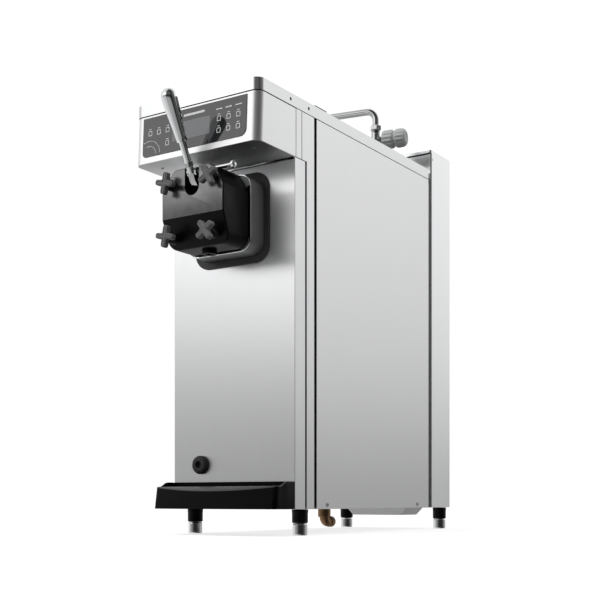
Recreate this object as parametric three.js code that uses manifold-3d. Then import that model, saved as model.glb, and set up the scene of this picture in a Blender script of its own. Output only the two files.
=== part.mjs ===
// Countertop soft-serve ice cream maker, built as separate pieces.
// Millimetres, +Z up, -Y to the front where the draw lever is, +X to the user's right.
// Everything is placed from the front panel's plane (Y = 0), the middle (X = 0) and the floor (Z = 0),
// and the group at the end moves the whole machine so that its bounding box is centred on the origin.
import * as THREE from "three";
import { mergeVertices } from "three/addons/utils/BufferGeometryUtils.js";
import Module from "manifold-3d";

const wasm = await Module();
wasm.setup();

// ---------- driving dimensions ----------
const GAP = 0.4; // left between pieces that touch
const SHEET = 1.5; // stainless sheet

const body = { half: 130, bottom: 44.5, depth: 592 };
const frontPanel = { top: 632, returnDepth: 31.5 };
const post = { inner: 108, back: 126.5, stripFront: 36, stripRear: 59.7, rear: 75, top: 714.2 };
const sidePanel = { front: 67.4, rear: 491.5 };
const head = { bottom: 632.4, top: 714.2, front: -102, rear: 3, lean: 0.0524, corner: 15 };
const lid = { half: 131, front: -103, rear: 491, bottom: 714.7, top: 734.5, corner: 15 };
const duct = { front: 503, rear: 592, top: 778 };
const foot = { x: 114, front: 39.4, rear: 574, sleeveRadius: 14, cupRadius: 13, cupHeight: 20.5 };
const sump = { topHalf: 74, floorHalf: 57, front: 506, rear: 580, floor: 28.5 };
const tray = { half: 130, corner: 52, bulge: 12, floor: 45, lip: 83.5, wall: 91.5, round: 9, flare: 0.12 };
const cylinder = { z: 541, bore: 47, outer: 52, length: 330 };
const collar = { half: 68.5, low: 476.5, high: 606, front: -40.5, corner: 23 };
const trim = { half: 79.3, low: 464, high: 618.5, depth: 3.2, corner: 30 };
const door = { half: 64.5, bottom: 480, top: 609.6, front: -111, back: -41, fold: 529.5, foot: -94 };
const upperStud = { x: 44.6, z: 585, face: -131, hubBack: -111.5 };
const lowerStud = { x: 41.5, z: 496, face: -134, hubBack: -103.5 };
const star = { reach: 18.4, half: 4.8, hub: 9.5 };
const pivot = { y: -103, z: 602, pin: 3.5 };
const piston = { y: -64, bottom: 482, top: 597, radius: 10 };
const tip = { y: -68, z: 587.5, radius: 4.2 };
const grip = { y: -168.6, z: 706.8, ball: 13.4, stem: 5.8 };
const hopper = { half: 85, front: 100, rear: 370, floor: 602, corner: 25, rim: 8 };
const hopperLid = { half: 95, front: 90, rear: 380, top: 754, gripTop: 762 };
const elbow = { x: 62, y: 200, z: 20, end: 226, pipe: 9.2, socket: 12, bead: 10.3 };
const tap = { x: 51, y: 413, turn: 10 * Math.PI / 180, branch: 785, nut: 806, spout: 846.5 };
const shelf = { front: 190, rear: 440, top: 320 };
const drive = { y: 412, width: 16, motorZ: 386, motorRadius: 30, drivenRadius: 60, belt: 6 };
const fan = { y: 418, z: 175, radius: 85 };
const rowShift = (duct.rear + grip.y - grip.ball) / 2;

// ---------- materials ----------
function finish(color, roughness, metalness) {
  return new THREE.MeshStandardMaterial({ color, roughness, metalness });
}
const steel = finish(0xc9cacb, 0.35, 0.9);
const polished = finish(0xd8dadc, 0.15, 1.0);
const chrome = finish(0xe6e8ea, 0.08, 1.0);
const blackPlastic = finish(0x1b1c1e, 0.45, 0.0);
const greyPlastic = finish(0x4a4c50, 0.5, 0.0);
const tapGrey = finish(0x8c8e90, 0.5, 0.0);
const rubber = finish(0x121213, 0.8, 0.0);
const brass = finish(0x8a5a32, 0.4, 0.9);
const overlayGrey = finish(0x3c3f45, 0.4, 0.0);
const circuitGreen = finish(0x1f5a33, 0.6, 0.0);
const whitePlastic = finish(0xe9e9e4, 0.5, 0.0);
const painted = finish(0x25272a, 0.5, 0.4);
const aluminium = finish(0xb5b7ba, 0.4, 0.9);

// ---------- shape helpers ----------
function block(x0, x1, y0, y1, z0, z1) {
  const geometry = new THREE.BoxGeometry(x1 - x0, y1 - y0, z1 - z0);
  return geometry.translate((x0 + x1) / 2, (y0 + y1) / 2, (z0 + z1) / 2);
}

function outline(points) {
  return new THREE.Shape(points.map(([a, b]) => new THREE.Vector2(a, b)));
}

// Rounded rectangle between two corners, with a radius for each of its corners:
// low-left, low-right, high-right, high-left.
function roundedBox(a0, a1, b0, b1, radii) {
  const [r0, r1, r2, r3] = Array.isArray(radii) ? radii : [radii, radii, radii, radii];
  const shape = new THREE.Shape();
  shape.moveTo(a0 + r0, b0);
  shape.lineTo(a1 - r1, b0);
  if (r1) shape.absarc(a1 - r1, b0 + r1, r1, -Math.PI / 2, 0);
  shape.lineTo(a1, b1 - r2);
  if (r2) shape.absarc(a1 - r2, b1 - r2, r2, 0, Math.PI / 2);
  shape.lineTo(a0 + r3, b1);
  if (r3) shape.absarc(a0 + r3, b1 - r3, r3, Math.PI / 2, Math.PI);
  shape.lineTo(a0, b0 + r0);
  if (r0) shape.absarc(a0 + r0, b0 + r0, r0, Math.PI, Math.PI * 1.5);
  return shape;
}

function extruded(shape, depth, curveSegments = 6) {
  return new THREE.ExtrudeGeometry(shape, { depth, bevelEnabled: false, curveSegments });
}

// A shape drawn in X and Y, standing from z0 to z1.
function alongZ(shape, z0, z1, curveSegments) {
  return extruded(shape, z1 - z0, curveSegments).translate(0, 0, z0);
}

// A shape drawn in X and Z, reaching from y0 back to y1.
function alongY(shape, y0, y1, curveSegments) {
  const turn = new THREE.Matrix4().makeBasis(
    new THREE.Vector3(1, 0, 0), new THREE.Vector3(0, 0, 1), new THREE.Vector3(0, -1, 0));
  return extruded(shape, y1 - y0, curveSegments).applyMatrix4(turn).translate(0, y1, 0);
}

// A shape drawn in Y and Z, reaching from x0 to x1.
function alongX(shape, x0, x1, curveSegments) {
  const turn = new THREE.Matrix4().makeBasis(
    new THREE.Vector3(0, 1, 0), new THREE.Vector3(0, 0, 1), new THREE.Vector3(1, 0, 0));
  return extruded(shape, x1 - x0, curveSegments).applyMatrix4(turn).translate(x0, 0, 0);
}

// A turned solid: profile points are [radius, distance along the axis].
function spun(profile, axis, segments = 28) {
  const points = profile.map(([r, h]) => new THREE.Vector2(r, h));
  const geometry = new THREE.LatheGeometry(points, segments);
  if (axis === "z") geometry.rotateX(Math.PI / 2);
  if (axis === "x") geometry.rotateZ(-Math.PI / 2);
  return geometry;
}

function rod(axis, radius, from, to, segments = 20) {
  return spun([[0, from], [radius, from], [radius, to], [0, to]], axis, segments);
}

function ring(axis, inner, outer, from, to, segments = 32) {
  const square = [[inner, from], [outer, from], [outer, to], [inner, to], [inner, from]];
  return spun(square, axis, segments);
}

// ---------- joining and cutting ----------
function toSolid(geometry) {
  const bare = geometry.clone();
  bare.deleteAttribute("normal");
  bare.deleteAttribute("uv");
  const merged = mergeVertices(bare, 1e-4);
  const corners = merged.index.array;
  const kept = [];
  for (let i = 0; i < corners.length; i += 3) {
    const [a, b, c] = [corners[i], corners[i + 1], corners[i + 2]];
    if (a !== b && b !== c && a !== c) kept.push(a, b, c);
  }
  return new wasm.Manifold(new wasm.Mesh({
    numProp: 3,
    vertProperties: new Float32Array(merged.attributes.position.array),
    triVerts: new Uint32Array(kept),
  }));
}

function fromSolid(solid) {
  const mesh = solid.getMesh();
  const geometry = new THREE.BufferGeometry();
  geometry.setAttribute("position", new THREE.BufferAttribute(new Float32Array(mesh.vertProperties), 3));
  geometry.setIndex(new THREE.BufferAttribute(new Uint32Array(mesh.triVerts), 1));
  const flat = geometry.toNonIndexed();
  flat.computeVertexNormals();
  return flat;
}

function join(first, ...others) {
  return fromSolid(others.reduce((solid, next) => solid.add(toSolid(next)), toSolid(first)));
}

function cut(first, ...tools) {
  return fromSolid(tools.reduce((solid, next) => solid.subtract(toSolid(next)), toSolid(first)));
}

// Moves every vertex of a geometry by a rule that changes its position in place.
function reshape(geometry, rule) {
  const place = geometry.attributes.position;
  const point = new THREE.Vector3();
  for (let i = 0; i < place.count; i += 1) {
    point.fromBufferAttribute(place, i);
    rule(point);
    place.setXYZ(i, point.x, point.y, point.z);
  }
  return geometry;
}

// ---------- the assembly ----------
const group = new THREE.Group();

function add(name, material, geometry) {
  const mesh = new THREE.Mesh(geometry, material);
  mesh.name = name;
  group.add(mesh);
  return mesh;
}

// ---------- casing ----------
function addBasePan() {
  const plate = block(-126, 126, 34, 588, body.bottom, body.bottom + 3.5);
  const basin = (inset, floor, top) => alongY(outline([
    [-sump.floorHalf + inset, floor], [sump.floorHalf - inset, floor],
    [sump.topHalf - inset, top], [-sump.topHalf + inset, top]]), sump.front + inset, sump.rear - inset);
  const shell = join(plate, basin(0, sump.floor, body.bottom + 1));
  add("base_pan", steel, cut(shell, basin(2, sump.floor + 2, body.bottom + 5)));
}

function addFrontPost(name, side) {
  const low = body.bottom + 4;
  const column = block(post.inner, post.back, 32.5, post.rear, low, post.top);
  const strip = block(post.back - 1, body.half, post.stripFront, post.stripRear, low, post.top);
  const upper = block(post.inner, body.half, head.rear + GAP, post.stripFront + 1,
    head.bottom + GAP, post.top);
  const apron = block(post.back + GAP, body.half, post.stripFront, post.stripRear, body.bottom, low + 1);
  const piece = join(column, strip, upper, apron);
  add(name, steel, side < 0 ? mirrored(piece) : piece);
}

// The same piece on the other side of the X = 0 plane, with its faces turned to stay outward.
function mirrored(geometry) {
  const flipped = reshape(geometry.clone(), (point) => { point.x = -point.x; });
  const place = flipped.attributes.position;
  for (let i = 0; i < place.count; i += 3) {
    const b = new THREE.Vector3().fromBufferAttribute(place, i + 1);
    const c = new THREE.Vector3().fromBufferAttribute(place, i + 2);
    place.setXYZ(i + 1, c.x, c.y, c.z);
    place.setXYZ(i + 2, b.x, b.y, b.z);
  }
  flipped.computeVertexNormals();
  return flipped;
}

function addFrontPanel() {
  const outer = block(-body.half, body.half, 0, frontPanel.returnDepth, body.bottom, frontPanel.top);
  const inner = block(-body.half + SHEET, body.half - SHEET, SHEET, 40, body.bottom - 1, frontPanel.top + 1);
  const window = alongY(roundedBox(-collar.half - GAP, collar.half + GAP,
    collar.low - GAP, collar.high + GAP, collar.corner), -5, 5);
  add("front_panel", steel, cut(outer, inner, window));
}

function addSidePanels() {
  const right = block(body.half - SHEET, body.half, sidePanel.front, sidePanel.rear, body.bottom, post.top);
  const left = block(-body.half, -body.half + SHEET, sidePanel.front, sidePanel.rear, body.bottom, post.top);
  add("side_panel_right", steel, right);
  add("side_panel_left", steel, left);
}

function addHeadBox() {
  const corners = [head.corner, head.corner, 0, 0];
  const outer = alongZ(roundedBox(-body.half, body.half, head.front, head.rear, corners),
    head.bottom, head.top, 8);
  const innerCorners = corners.map((r) => Math.max(r - SHEET, 0));
  const inner = alongZ(roundedBox(-body.half + SHEET, body.half - SHEET, head.front + SHEET,
    head.rear + 5, innerCorners), head.bottom + SHEET, head.top + 1, 8);
  const leanFactor = head.lean / (head.rear - head.front);
  const lean = (point) => {
    point.y = head.rear + (point.y - head.rear) * (1 + leanFactor * (head.top - point.z));
  };
  add("head_box", steel, cut(reshape(outer, lean), reshape(inner, lean)));
}

function addControls() {
  const overlay = alongY(roundedBox(-111.5, 107, 643, 710, [7, 12, 0, 0]), -0.8, 0, 5);
  reshape(overlay, (point) => {
    point.y += head.front - 0.3 - head.lean * (head.top - point.z);
  });
  add("control_overlay", overlayGrey, overlay);
  const board = block(-100, 100, -97, -95.4, 648, 706);
  const parts = [block(-84, -52, -96, -80, 660, 684), block(-20, 34, -96, -88, 662, 690),
    block(58, 90, -96, -84, 656, 672)];
  add("control_board", circuitGreen, join(board, ...parts));
}

function addLid() {
  const corners = [lid.corner, lid.corner, 0, 0];
  const outer = alongZ(roundedBox(-lid.half, lid.half, lid.front, lid.rear, corners), lid.bottom, lid.top, 5);
  const inner = alongZ(roundedBox(-lid.half + SHEET, lid.half - SHEET, lid.front + SHEET,
    lid.rear - SHEET, corners.map((r) => Math.max(r - SHEET, 0))), lid.bottom - 1, lid.top - SHEET, 5);
  const mouth = alongZ(roundedBox(-hopper.half - GAP, hopper.half + GAP, hopper.front - GAP,
    hopper.rear + GAP, hopper.corner), lid.top - 5, lid.top + 5, 4);
  const tapHole = rod("z", 9.6, lid.top - 5, lid.top + 5, 16).translate(tap.x, tap.y, 0);
  add("lid", steel, cut(outer, inner, mouth, tapHole));
}

function addRearDuct() {
  const outer = block(-body.half, body.half, duct.front, duct.rear, body.bottom, duct.top);
  const inner = block(-body.half + SHEET, body.half - SHEET, duct.front + SHEET, duct.rear - SHEET,
    body.bottom - 1, duct.top + 1);
  const airway = block(-105, 105, duct.front - 1, duct.front + 5, 60, 680);
  const socket = block(58, 106, duct.rear - 5, duct.rear + 1, 88, 122);
  const flange = (side) => block(side * 117 - 9, side * 117 + 9, 492.5, duct.front + 1, body.bottom, 710);
  const aboveBase = block(-126.4, 126.4, 480, duct.front + 2, body.bottom - 1, body.bottom + 4);
  add("rear_duct", steel, cut(join(outer, flange(1), flange(-1)), inner, airway, aboveBase, socket));
}

function addDuctGrille() {
  const edge = roundedBox(-128, 128, duct.front + 2, duct.rear - 2, 0);
  for (let row = 0; row < 6; row += 1) {
    const y = duct.front + 13 + row * 12;
    edge.holes.push(outline([[-118, y], [-118, y + 7], [118, y + 7], [118, y]]));
  }
  add("duct_grille", steel, alongZ(edge, duct.top - 6, duct.top - 4));
}

function addPowerInlet() {
  const flangePlate = block(56, 108, duct.rear - 4.4, duct.rear - 1.9, 86, 124);
  const nose = block(58.5, 105.5, duct.rear - 3, duct.rear - 0.2, 88.5, 121.5);
  const barrel = block(62, 102, duct.rear - 30, duct.rear - 3, 92, 118);
  const recess = block(65, 99, duct.rear - 20, duct.rear + 1, 94.5, 115.5);
  const blades = [73, 82, 91].map((x) => block(x - 1.2, x + 1.2, duct.rear - 21, duct.rear - 8, 101, 109));
  add("power_inlet", blackPlastic, join(cut(join(flangePlate, nose, barrel), recess), ...blades));
}

// ---------- feet ----------
function addFeet() {
  const places = { front_right: [1, foot.front], front_left: [-1, foot.front],
    rear_right: [1, foot.rear], rear_left: [-1, foot.rear] };
  for (const [name, [side, y]] of Object.entries(places)) {
    const sleeve = spun([[0, foot.cupHeight + GAP], [foot.sleeveRadius - 1, foot.cupHeight + GAP],
      [foot.sleeveRadius, foot.cupHeight + 1.5], [foot.sleeveRadius, body.bottom - GAP],
      [0, body.bottom - GAP]], "z", 24);
    const cup = spun([[0, 0], [foot.cupRadius - 1, 0], [foot.cupRadius, 1], [foot.cupRadius, foot.cupHeight],
      [0, foot.cupHeight]], "z", 24);
    add(`foot_sleeve_${name}`, blackPlastic, sleeve.translate(side * foot.x, y, 0));
    add(`foot_cup_${name}`, chrome, cup.translate(side * foot.x, y, 0));
  }
}

// ---------- drip tray and drain ----------
function addDripTray() {
  const { half, corner, round, bulge } = tray;
  const plan = new THREE.Shape();
  plan.moveTo(half, -GAP);
  plan.lineTo(-half, -GAP);
  plan.lineTo(-half, -corner + round);
  plan.quadraticCurveTo(-half, -corner, -half + round, -corner - 1);
  plan.quadraticCurveTo(0, -corner - 2 * bulge, half - round, -corner - 1);
  plan.quadraticCurveTo(half, -corner, half, -corner + round);
  const outer = alongZ(plan, tray.floor, tray.wall, 12);
  reshape(outer, (point) => {
    point.y *= 1 + tray.flare * Math.max(tray.lip - point.z, 0) / (tray.lip - tray.floor);
  });
  const above = alongX(outline([[-100, 57.5], [-50, tray.lip], [-42, tray.lip], [-22, tray.wall],
    [5, tray.wall], [5, 120], [-100, 120]]), -half - 1, half + 1);
  const hollow = alongZ(roundedBox(-half + 2.5, half - 2.5, -corner + 2.5, -3, 4),
    tray.floor + 3, tray.wall + 5, 3);
  add("drip_tray", blackPlastic, cut(outer, above, hollow));
}

function addDrainGrommet() {
  const profile = [[0, -3], [6, -3], [6, -10], [10, -10], [15, -8.5], [16.2, -5.5], [16.2, -GAP], [0, -GAP]];
  add("drain_grommet", rubber, spun(profile, "y", 28).translate(-68, 0, 122));
}

function addDrainElbow() {
  const bend = new THREE.CurvePath();
  const { y, z } = elbow;
  const p = (py, pz) => new THREE.Vector3(elbow.x, py, pz);
  const top = body.bottom - 1;
  bend.add(new THREE.LineCurve3(p(y, top), p(y, z + 10)));
  bend.add(new THREE.QuadraticBezierCurve3(p(y, z + 10), p(y, z), p(y + 10, z)));
  bend.add(new THREE.LineCurve3(p(y + 10, z), p(elbow.end, z)));
  const pipe = new THREE.ExtrudeGeometry(new THREE.Shape().absarc(0, 0, elbow.pipe, 0, Math.PI * 2), {
    steps: 12, curveSegments: 6, bevelEnabled: false, extrudePath: bend });
  const bead = rod("y", elbow.bead, elbow.end - 8, elbow.end, 16).translate(elbow.x, 0, elbow.z);
  const socket = rod("z", elbow.socket, elbow.z + 8, top, 16).translate(elbow.x, elbow.y, 0);
  const above = block(elbow.x - 20, elbow.x + 20, elbow.y - 20, elbow.y + 20, top, top + 20);
  const bore = rod("y", 6, elbow.end - 12, elbow.end + 2, 16).translate(elbow.x, 0, elbow.z);
  add("drain_elbow", brass, cut(join(cut(pipe, above), socket, bead), bore));
}

// ---------- freezing cylinder, door and valve ----------
function addTrimRing() {
  const outer = alongY(roundedBox(-trim.half, trim.half, trim.low, trim.high, trim.corner),
    -trim.depth, -GAP, 6);
  const inner = alongY(roundedBox(-collar.half - GAP, collar.half + GAP, collar.low - GAP,
    collar.high + GAP, collar.corner), -10, 5, 6);
  add("trim_ring", rubber, cut(outer, inner));
}

function addFreezingCylinder() {
  const flange = alongY(roundedBox(-collar.half, collar.half, collar.low, collar.high, collar.corner),
    collar.front, 2, 6);
  const barrel = rod("y", cylinder.outer, 0, cylinder.length, 32).translate(0, 0, cylinder.z);
  const bore = rod("y", cylinder.bore, collar.front - 1, cylinder.length - 4, 32).translate(0, 0, cylinder.z);
  const shaftHole = rod("y", 9, cylinder.length - 10, cylinder.length + 1).translate(0, 0, cylinder.z);
  add("freezing_cylinder", polished, cut(join(flange, barrel), bore, shaftHole));
}

function doorOutline() {
  const archRadius = 67.6;
  const archZ = 551.7;
  const flatHalf = Math.sqrt(archRadius ** 2 - (door.top - archZ) ** 2);
  const start = Math.asin((door.top - archZ) / archRadius);
  const end = Math.acos(door.half / archRadius);
  const shape = new THREE.Shape();
  const low = 20;
  shape.moveTo(-door.half + low, door.bottom);
  shape.lineTo(door.half - low, door.bottom);
  shape.absarc(door.half - low, door.bottom + low, low, -Math.PI / 2, 0);
  shape.absarc(0, archZ, archRadius, end, start);
  shape.lineTo(-flatHalf, door.top);
  shape.absarc(0, archZ, archRadius, Math.PI - start, Math.PI - end);
  shape.absarc(-door.half + low, door.bottom + low, low, Math.PI, Math.PI * 1.5);
  return shape;
}

function addDispensingDoor() {
  const slab = alongY(doorOutline(), door.front, door.back, 6);
  const plug = rod("y", cylinder.bore - 0.5, door.back - 1, -26, 32).translate(0, 0, cylinder.z);
  const wedge = alongX(outline([[door.front, door.fold], [door.front - 10, door.fold],
    [door.front - 10, 470], [door.foot + 3.8, 470]]), -80, 80);
  const sealGroove = ring("y", 44, 50, -33.5, -29.5, 32).translate(0, 0, cylinder.z);
  const slotRadius = 15;
  const slotShape = new THREE.Shape();
  slotShape.moveTo(-slotRadius, 640);
  slotShape.lineTo(-slotRadius, 577);
  slotShape.absarc(0, 577, slotRadius, Math.PI, Math.PI * 2);
  slotShape.lineTo(slotRadius, 640);
  const slot = alongY(slotShape, door.front - 5, piston.y + 2, 8);
  const pistonBore = rod("z", piston.radius + GAP, 470, 640, 24).translate(0, piston.y, 0);
  const port = rod("y", 7, piston.y, -20, 12).translate(0, 0, 503);
  const pinBore = rod("x", pivot.pin + GAP, -62, 80, 12).translate(0, pivot.y, pivot.z);
  const studHoles = [upperStud, lowerStud].flatMap((stud) => [-1, 1].map((side) =>
    rod("y", 4.5, -120, -30, 12).translate(side * stud.x, 0, stud.z)));
  add("dispensing_door", blackPlastic,
    cut(join(slab, plug), wedge, sealGroove, slot, pistonBore, port, pinBore, ...studHoles));
}

function addDoorSeal() {
  const round = [];
  for (let i = 0; i <= 6; i += 1) {
    const angle = i * Math.PI / 3;
    round.push([45.4 + 1.35 * Math.cos(angle), -31.5 + 1.35 * Math.sin(angle)]);
  }
  add("door_seal", rubber, spun(round, "y", 32).translate(0, 0, cylinder.z));
}

function addNozzle() {
  const profile = [[8, door.bottom - 7], [12, door.bottom - 7], [13, door.bottom - 5],
    [13, door.bottom - GAP], [8, door.bottom - GAP], [8, door.bottom - 7]];
  add("nozzle", blackPlastic, spun(profile, "z", 28).translate(0, piston.y, 0));
}

function starKnob(stud, turn) {
  const { reach, half } = star;
  const arm = roundedBox(-reach, reach, -half, half, half - 0.6);
  const one = alongY(arm, stud.face, stud.face + 11, 2);
  const other = one.clone().rotateY(Math.PI / 2);
  const hub = rod("y", star.hub, stud.face + 5, stud.hubBack, 16);
  const bore = rod("y", 4.5, stud.face + 5, stud.hubBack + 1, 12);
  return cut(join(one, other, hub), bore).rotateY(turn);
}

function addStudsAndKnobs() {
  const turns = { upper_left: 12, upper_right: -30, lower_left: 10, lower_right: -36 };
  for (const [name, degrees] of Object.entries(turns)) {
    const stud = name.startsWith("upper") ? upperStud : lowerStud;
    const x = (name.endsWith("left") ? -1 : 1) * stud.x;
    const bolt = rod("y", 4, stud.face + 5.5, collar.front - GAP, 12);
    add(`door_stud_${name}`, polished, bolt.translate(x, 0, stud.z));
    add(`star_knob_${name}`, greyPlastic, starKnob(stud, degrees * Math.PI / 180).translate(x, 0, stud.z));
  }
}

function addLever() {
  const toBall = new THREE.Vector2(grip.y + 118.3, grip.z - 609.9);
  const length = toBall.length() + 16;
  const lean = Math.atan2(-toBall.x, toBall.y);
  const end = grip.ball;
  const stem = spun([[0, 0], [grip.stem, 0], [grip.stem, length - 71.5], [8.8, length - 70], [9.1, length - 64],
    [10.1, length - 50], [12.1, length - 25], [end, length - 8], [end, length], [end * 0.87, length + end / 2],
    [end * 0.5, length + end * 0.87], [0, length + end]], "z", 16);
  stem.rotateX(lean).translate(0, grip.y + Math.sin(lean) * length, grip.z - Math.cos(lean) * length);
  const yokeShape = outline([[-114.5, 597], [-109.5, 586], [-101.5, 577], [-94, 581],
    [-94.5, 596], [-99, 605], [-108, 609]]);
  const yoke = alongX(yokeShape, -5.8, 5.8);
  const knuckle = rod("x", 8.4, -10, 10, 20).translate(0, pivot.y - 2.5, pivot.z - 1.2);
  const armShape = outline([[-97, 604], [-104, 597], [-69, 585], [-67, 590]]);
  const arm = alongX(armShape, -3.5, 3.5);
  const ball = new THREE.SphereGeometry(tip.radius, 12, 8).translate(0, tip.y, tip.z);
  const pinHole = rod("x", pivot.pin + GAP, -20, 20, 12).translate(0, pivot.y, pivot.z);
  add("draw_lever", chrome, cut(join(stem, yoke, knuckle, arm, ball), pinHole));
}

function addLeverPin() {
  const profile = [[0, -58], [pivot.pin, -58], [pivot.pin, 77], [6.5, 77.5], [6.5, 82], [4, 84.5], [0, 84.5]];
  add("lever_pin", chrome, spun(profile, "x", 16).translate(0, pivot.y, pivot.z));
}

function addPiston() {
  const r = piston.radius;
  const groove = r - 2.2;
  const profile = [[0, piston.bottom], [r - 1, piston.bottom], [r, piston.bottom + 1], [r, 485.5],
    [groove, 485.5], [groove, 489], [r, 489], [r, 522], [groove, 522], [groove, 525.5], [r, 525.5],
    [r, piston.top], [0, piston.top]];
  const stick = spun(profile, "z", 24).translate(0, piston.y, 0);
  const notch = alongX(outline([[-59.5, tip.z - 5.4], [-70, tip.z - 5.4], [-78, tip.z - 9],
    [-78, tip.z + 9], [-70, tip.z + 5.4], [-59.5, tip.z + 5.4]]), -12, 12);
  add("draw_piston", whitePlastic, cut(stick, notch));
  for (const [name, z] of [["piston_ring_lower", 487.25], ["piston_ring_upper", 523.75]]) {
    const round = [];
    for (let i = 0; i <= 6; i += 1) {
      const angle = i * Math.PI / 3;
      round.push([9.2 + 1.05 * Math.cos(angle), z + 1.3 * Math.sin(angle)]);
    }
    add(name, rubber, spun(round, "z", 20).translate(0, piston.y, 0));
  }
}

// ---------- beater and drive ----------
class Helix extends THREE.Curve {
  constructor(radius, start, end, turns, phase) {
    super();
    Object.assign(this, { radius, start, end, turns, phase });
  }

  getPoint(t, target = new THREE.Vector3()) {
    const angle = this.phase + t * this.turns * Math.PI * 2;
    return target.set(this.radius * Math.cos(angle), this.start + t * (this.end - this.start),
      this.radius * Math.sin(angle));
  }
}

function addBeater() {
  const blades = [0, Math.PI].map((phase) => new THREE.ExtrudeGeometry(roundedBox(-3, 3, -3, 3, 0), {
    steps: 32, bevelEnabled: false, extrudePath: new Helix(40, -14, 312, 1.5, phase) }));
  const shaft = rod("y", 8, -18, 346, 16);
  const arms = [0, 1, 2, 3].map((row) => {
    const t = 0.04 + row * 0.306;
    const bar = block(-41, 41, -3, 3, -3, 3).rotateY(-t * 1.5 * Math.PI * 2);
    return bar.translate(0, -14 + t * 326, 0);
  });
  add("beater", whitePlastic, join(shaft, ...blades, ...arms).translate(0, 0, cylinder.z));
}

function addShaftSeal() {
  const seal = ring("y", 8.4, 16, cylinder.length + GAP, cylinder.length + 7);
  add("shaft_seal", rubber, seal.translate(0, 0, cylinder.z));
}

function addGearbox() {
  const casing = block(-55, 55, 350, 400, cylinder.z - 50, cylinder.z + 54);
  const nose = rod("y", 30, cylinder.length + 8, 352, 24).translate(0, 0, cylinder.z);
  const output = rod("y", 8.4, 330, 372).translate(0, 0, cylinder.z);
  const input = rod("y", 8.4, 376, 410).translate(0, 0, cylinder.z);
  add("gearbox", aluminium, cut(join(casing, nose), output, input));
}

function pulley(radius, shaftFrom, shaftTo, z) {
  const [y0, y1] = [drive.y, drive.y + drive.width];
  const rim = radius + 4;
  const profile = [[0, shaftFrom], [8, shaftFrom], [8, y0 - 2.5], [rim, y0 - 2.5], [rim, y0 - GAP],
    [radius, y0 - GAP], [radius, y1 + GAP], [rim, y1 + GAP], [rim, y1 + 2.5], [8, y1 + 2.5],
    [8, shaftTo], [0, shaftTo]];
  return spun(profile, "y", 24).translate(0, 0, z);
}

function addDrive() {
  add("driven_pulley", aluminium, pulley(drive.drivenRadius, 378, 436, cylinder.z));
  add("motor_pulley", aluminium, pulley(drive.motorRadius, 340, 436, drive.motorZ));
  const low = drive.motorRadius + GAP;
  const high = drive.drivenRadius + GAP;
  const belt = alongY(beltLoop(low + drive.belt, high + drive.belt), drive.y, drive.y + drive.width, 16);
  const inside = alongY(beltLoop(low, high), drive.y - 1, drive.y + drive.width + 1, 16);
  add("drive_belt", rubber, cut(belt, inside));
  const can = rod("y", 60, 210, 372, 28).translate(0, 0, drive.motorZ);
  const end = rod("y", 40, 370, 392, 24).translate(0, 0, drive.motorZ);
  const stand = block(-50, 50, 225, 360, shelf.top + GAP, drive.motorZ - 20);
  const bore = rod("y", 8.4, 338, 400).translate(0, 0, drive.motorZ);
  add("motor", painted, cut(join(can, end, stand), bore));
}

// The closed line of a belt round two pulleys in the X-Z plane.
function beltLoop(lowRadius, highRadius) {
  const span = cylinder.z - drive.motorZ;
  const slope = Math.asin((highRadius - lowRadius) / span);
  const shape = new THREE.Shape();
  shape.absarc(0, cylinder.z, highRadius, -slope, Math.PI + slope);
  shape.absarc(0, drive.motorZ, lowRadius, Math.PI + slope, Math.PI * 2 - slope);
  return shape;
}

// ---------- cooling ----------
function addCooling() {
  add("motor_shelf", steel, block(-128, 128, shelf.front, shelf.rear, shelf.top - 4, shelf.top));
  const top = body.bottom + 4;
  const shell = spun([[0, top + 8], [66, top + 8], [74, top + 16], [74, 180], [60, 205], [30, 216],
    [0, 218]], "z", 28);
  const base = block(-80, 80, -62, 62, top, top + 10);
  add("compressor", painted, join(shell, base).translate(0, 140, 0));
  const core = block(-100, 100, 442, 482, 60, 290);
  const slots = [];
  for (let x = -84; x <= 84; x += 24) slots.push(block(x - 5, x + 5, 440, 446, 70, 280));
  add("condenser", aluminium, cut(core, ...slots));
  const hub = rod("y", 18, fan.y, fan.y + 16, 20);
  const blades = [];
  for (let i = 0; i < 5; i += 1) {
    const blade = block(-2, 2, 0, 14, 10, fan.radius).translate(0, -7, 0).rotateZ(0.9).translate(0, 8, 0);
    blades.push(blade.rotateY(i * Math.PI * 2 / 5).translate(0, fan.y, 0));
  }
  const spindle = rod("y", 4, fan.y - 20, fan.y + 1, 12);
  add("fan", blackPlastic, join(hub, spindle, ...blades).translate(0, 0, fan.z));
  const can = rod("y", 32, fan.y - 44, fan.y - 3, 24).translate(0, 0, fan.z);
  const leg = block(-14, 14, fan.y - 40, fan.y - 30, top + GAP, fan.z - 20);
  const bore = rod("y", 4.4, fan.y - 22, fan.y, 12).translate(0, 0, fan.z);
  add("fan_motor", painted, cut(join(can, leg), bore));
}

// ---------- hopper, its lid and the feed tube ----------
function addHopper() {
  const plan = (grow) => roundedBox(-hopper.half - grow, hopper.half + grow, hopper.front - grow,
    hopper.rear + grow, hopper.corner + grow);
  const wall = alongZ(plan(-GAP / 2), hopper.floor, lid.top + 3, 4);
  const rim = alongZ(plan(hopper.rim), lid.top + GAP, lid.top + 3, 4);
  const outlet = rod("z", 12, cylinder.z + cylinder.outer + GAP, hopper.floor + 1).translate(0, 150, 0);
  const hollow = alongZ(plan(-2), hopper.floor + 2, lid.top + 5, 4);
  const drain = rod("z", 8.5, 560, hopper.floor + 5).translate(0, 150, 0);
  add("hopper", polished, cut(join(wall, rim, outlet), hollow, drain));
}

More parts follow.
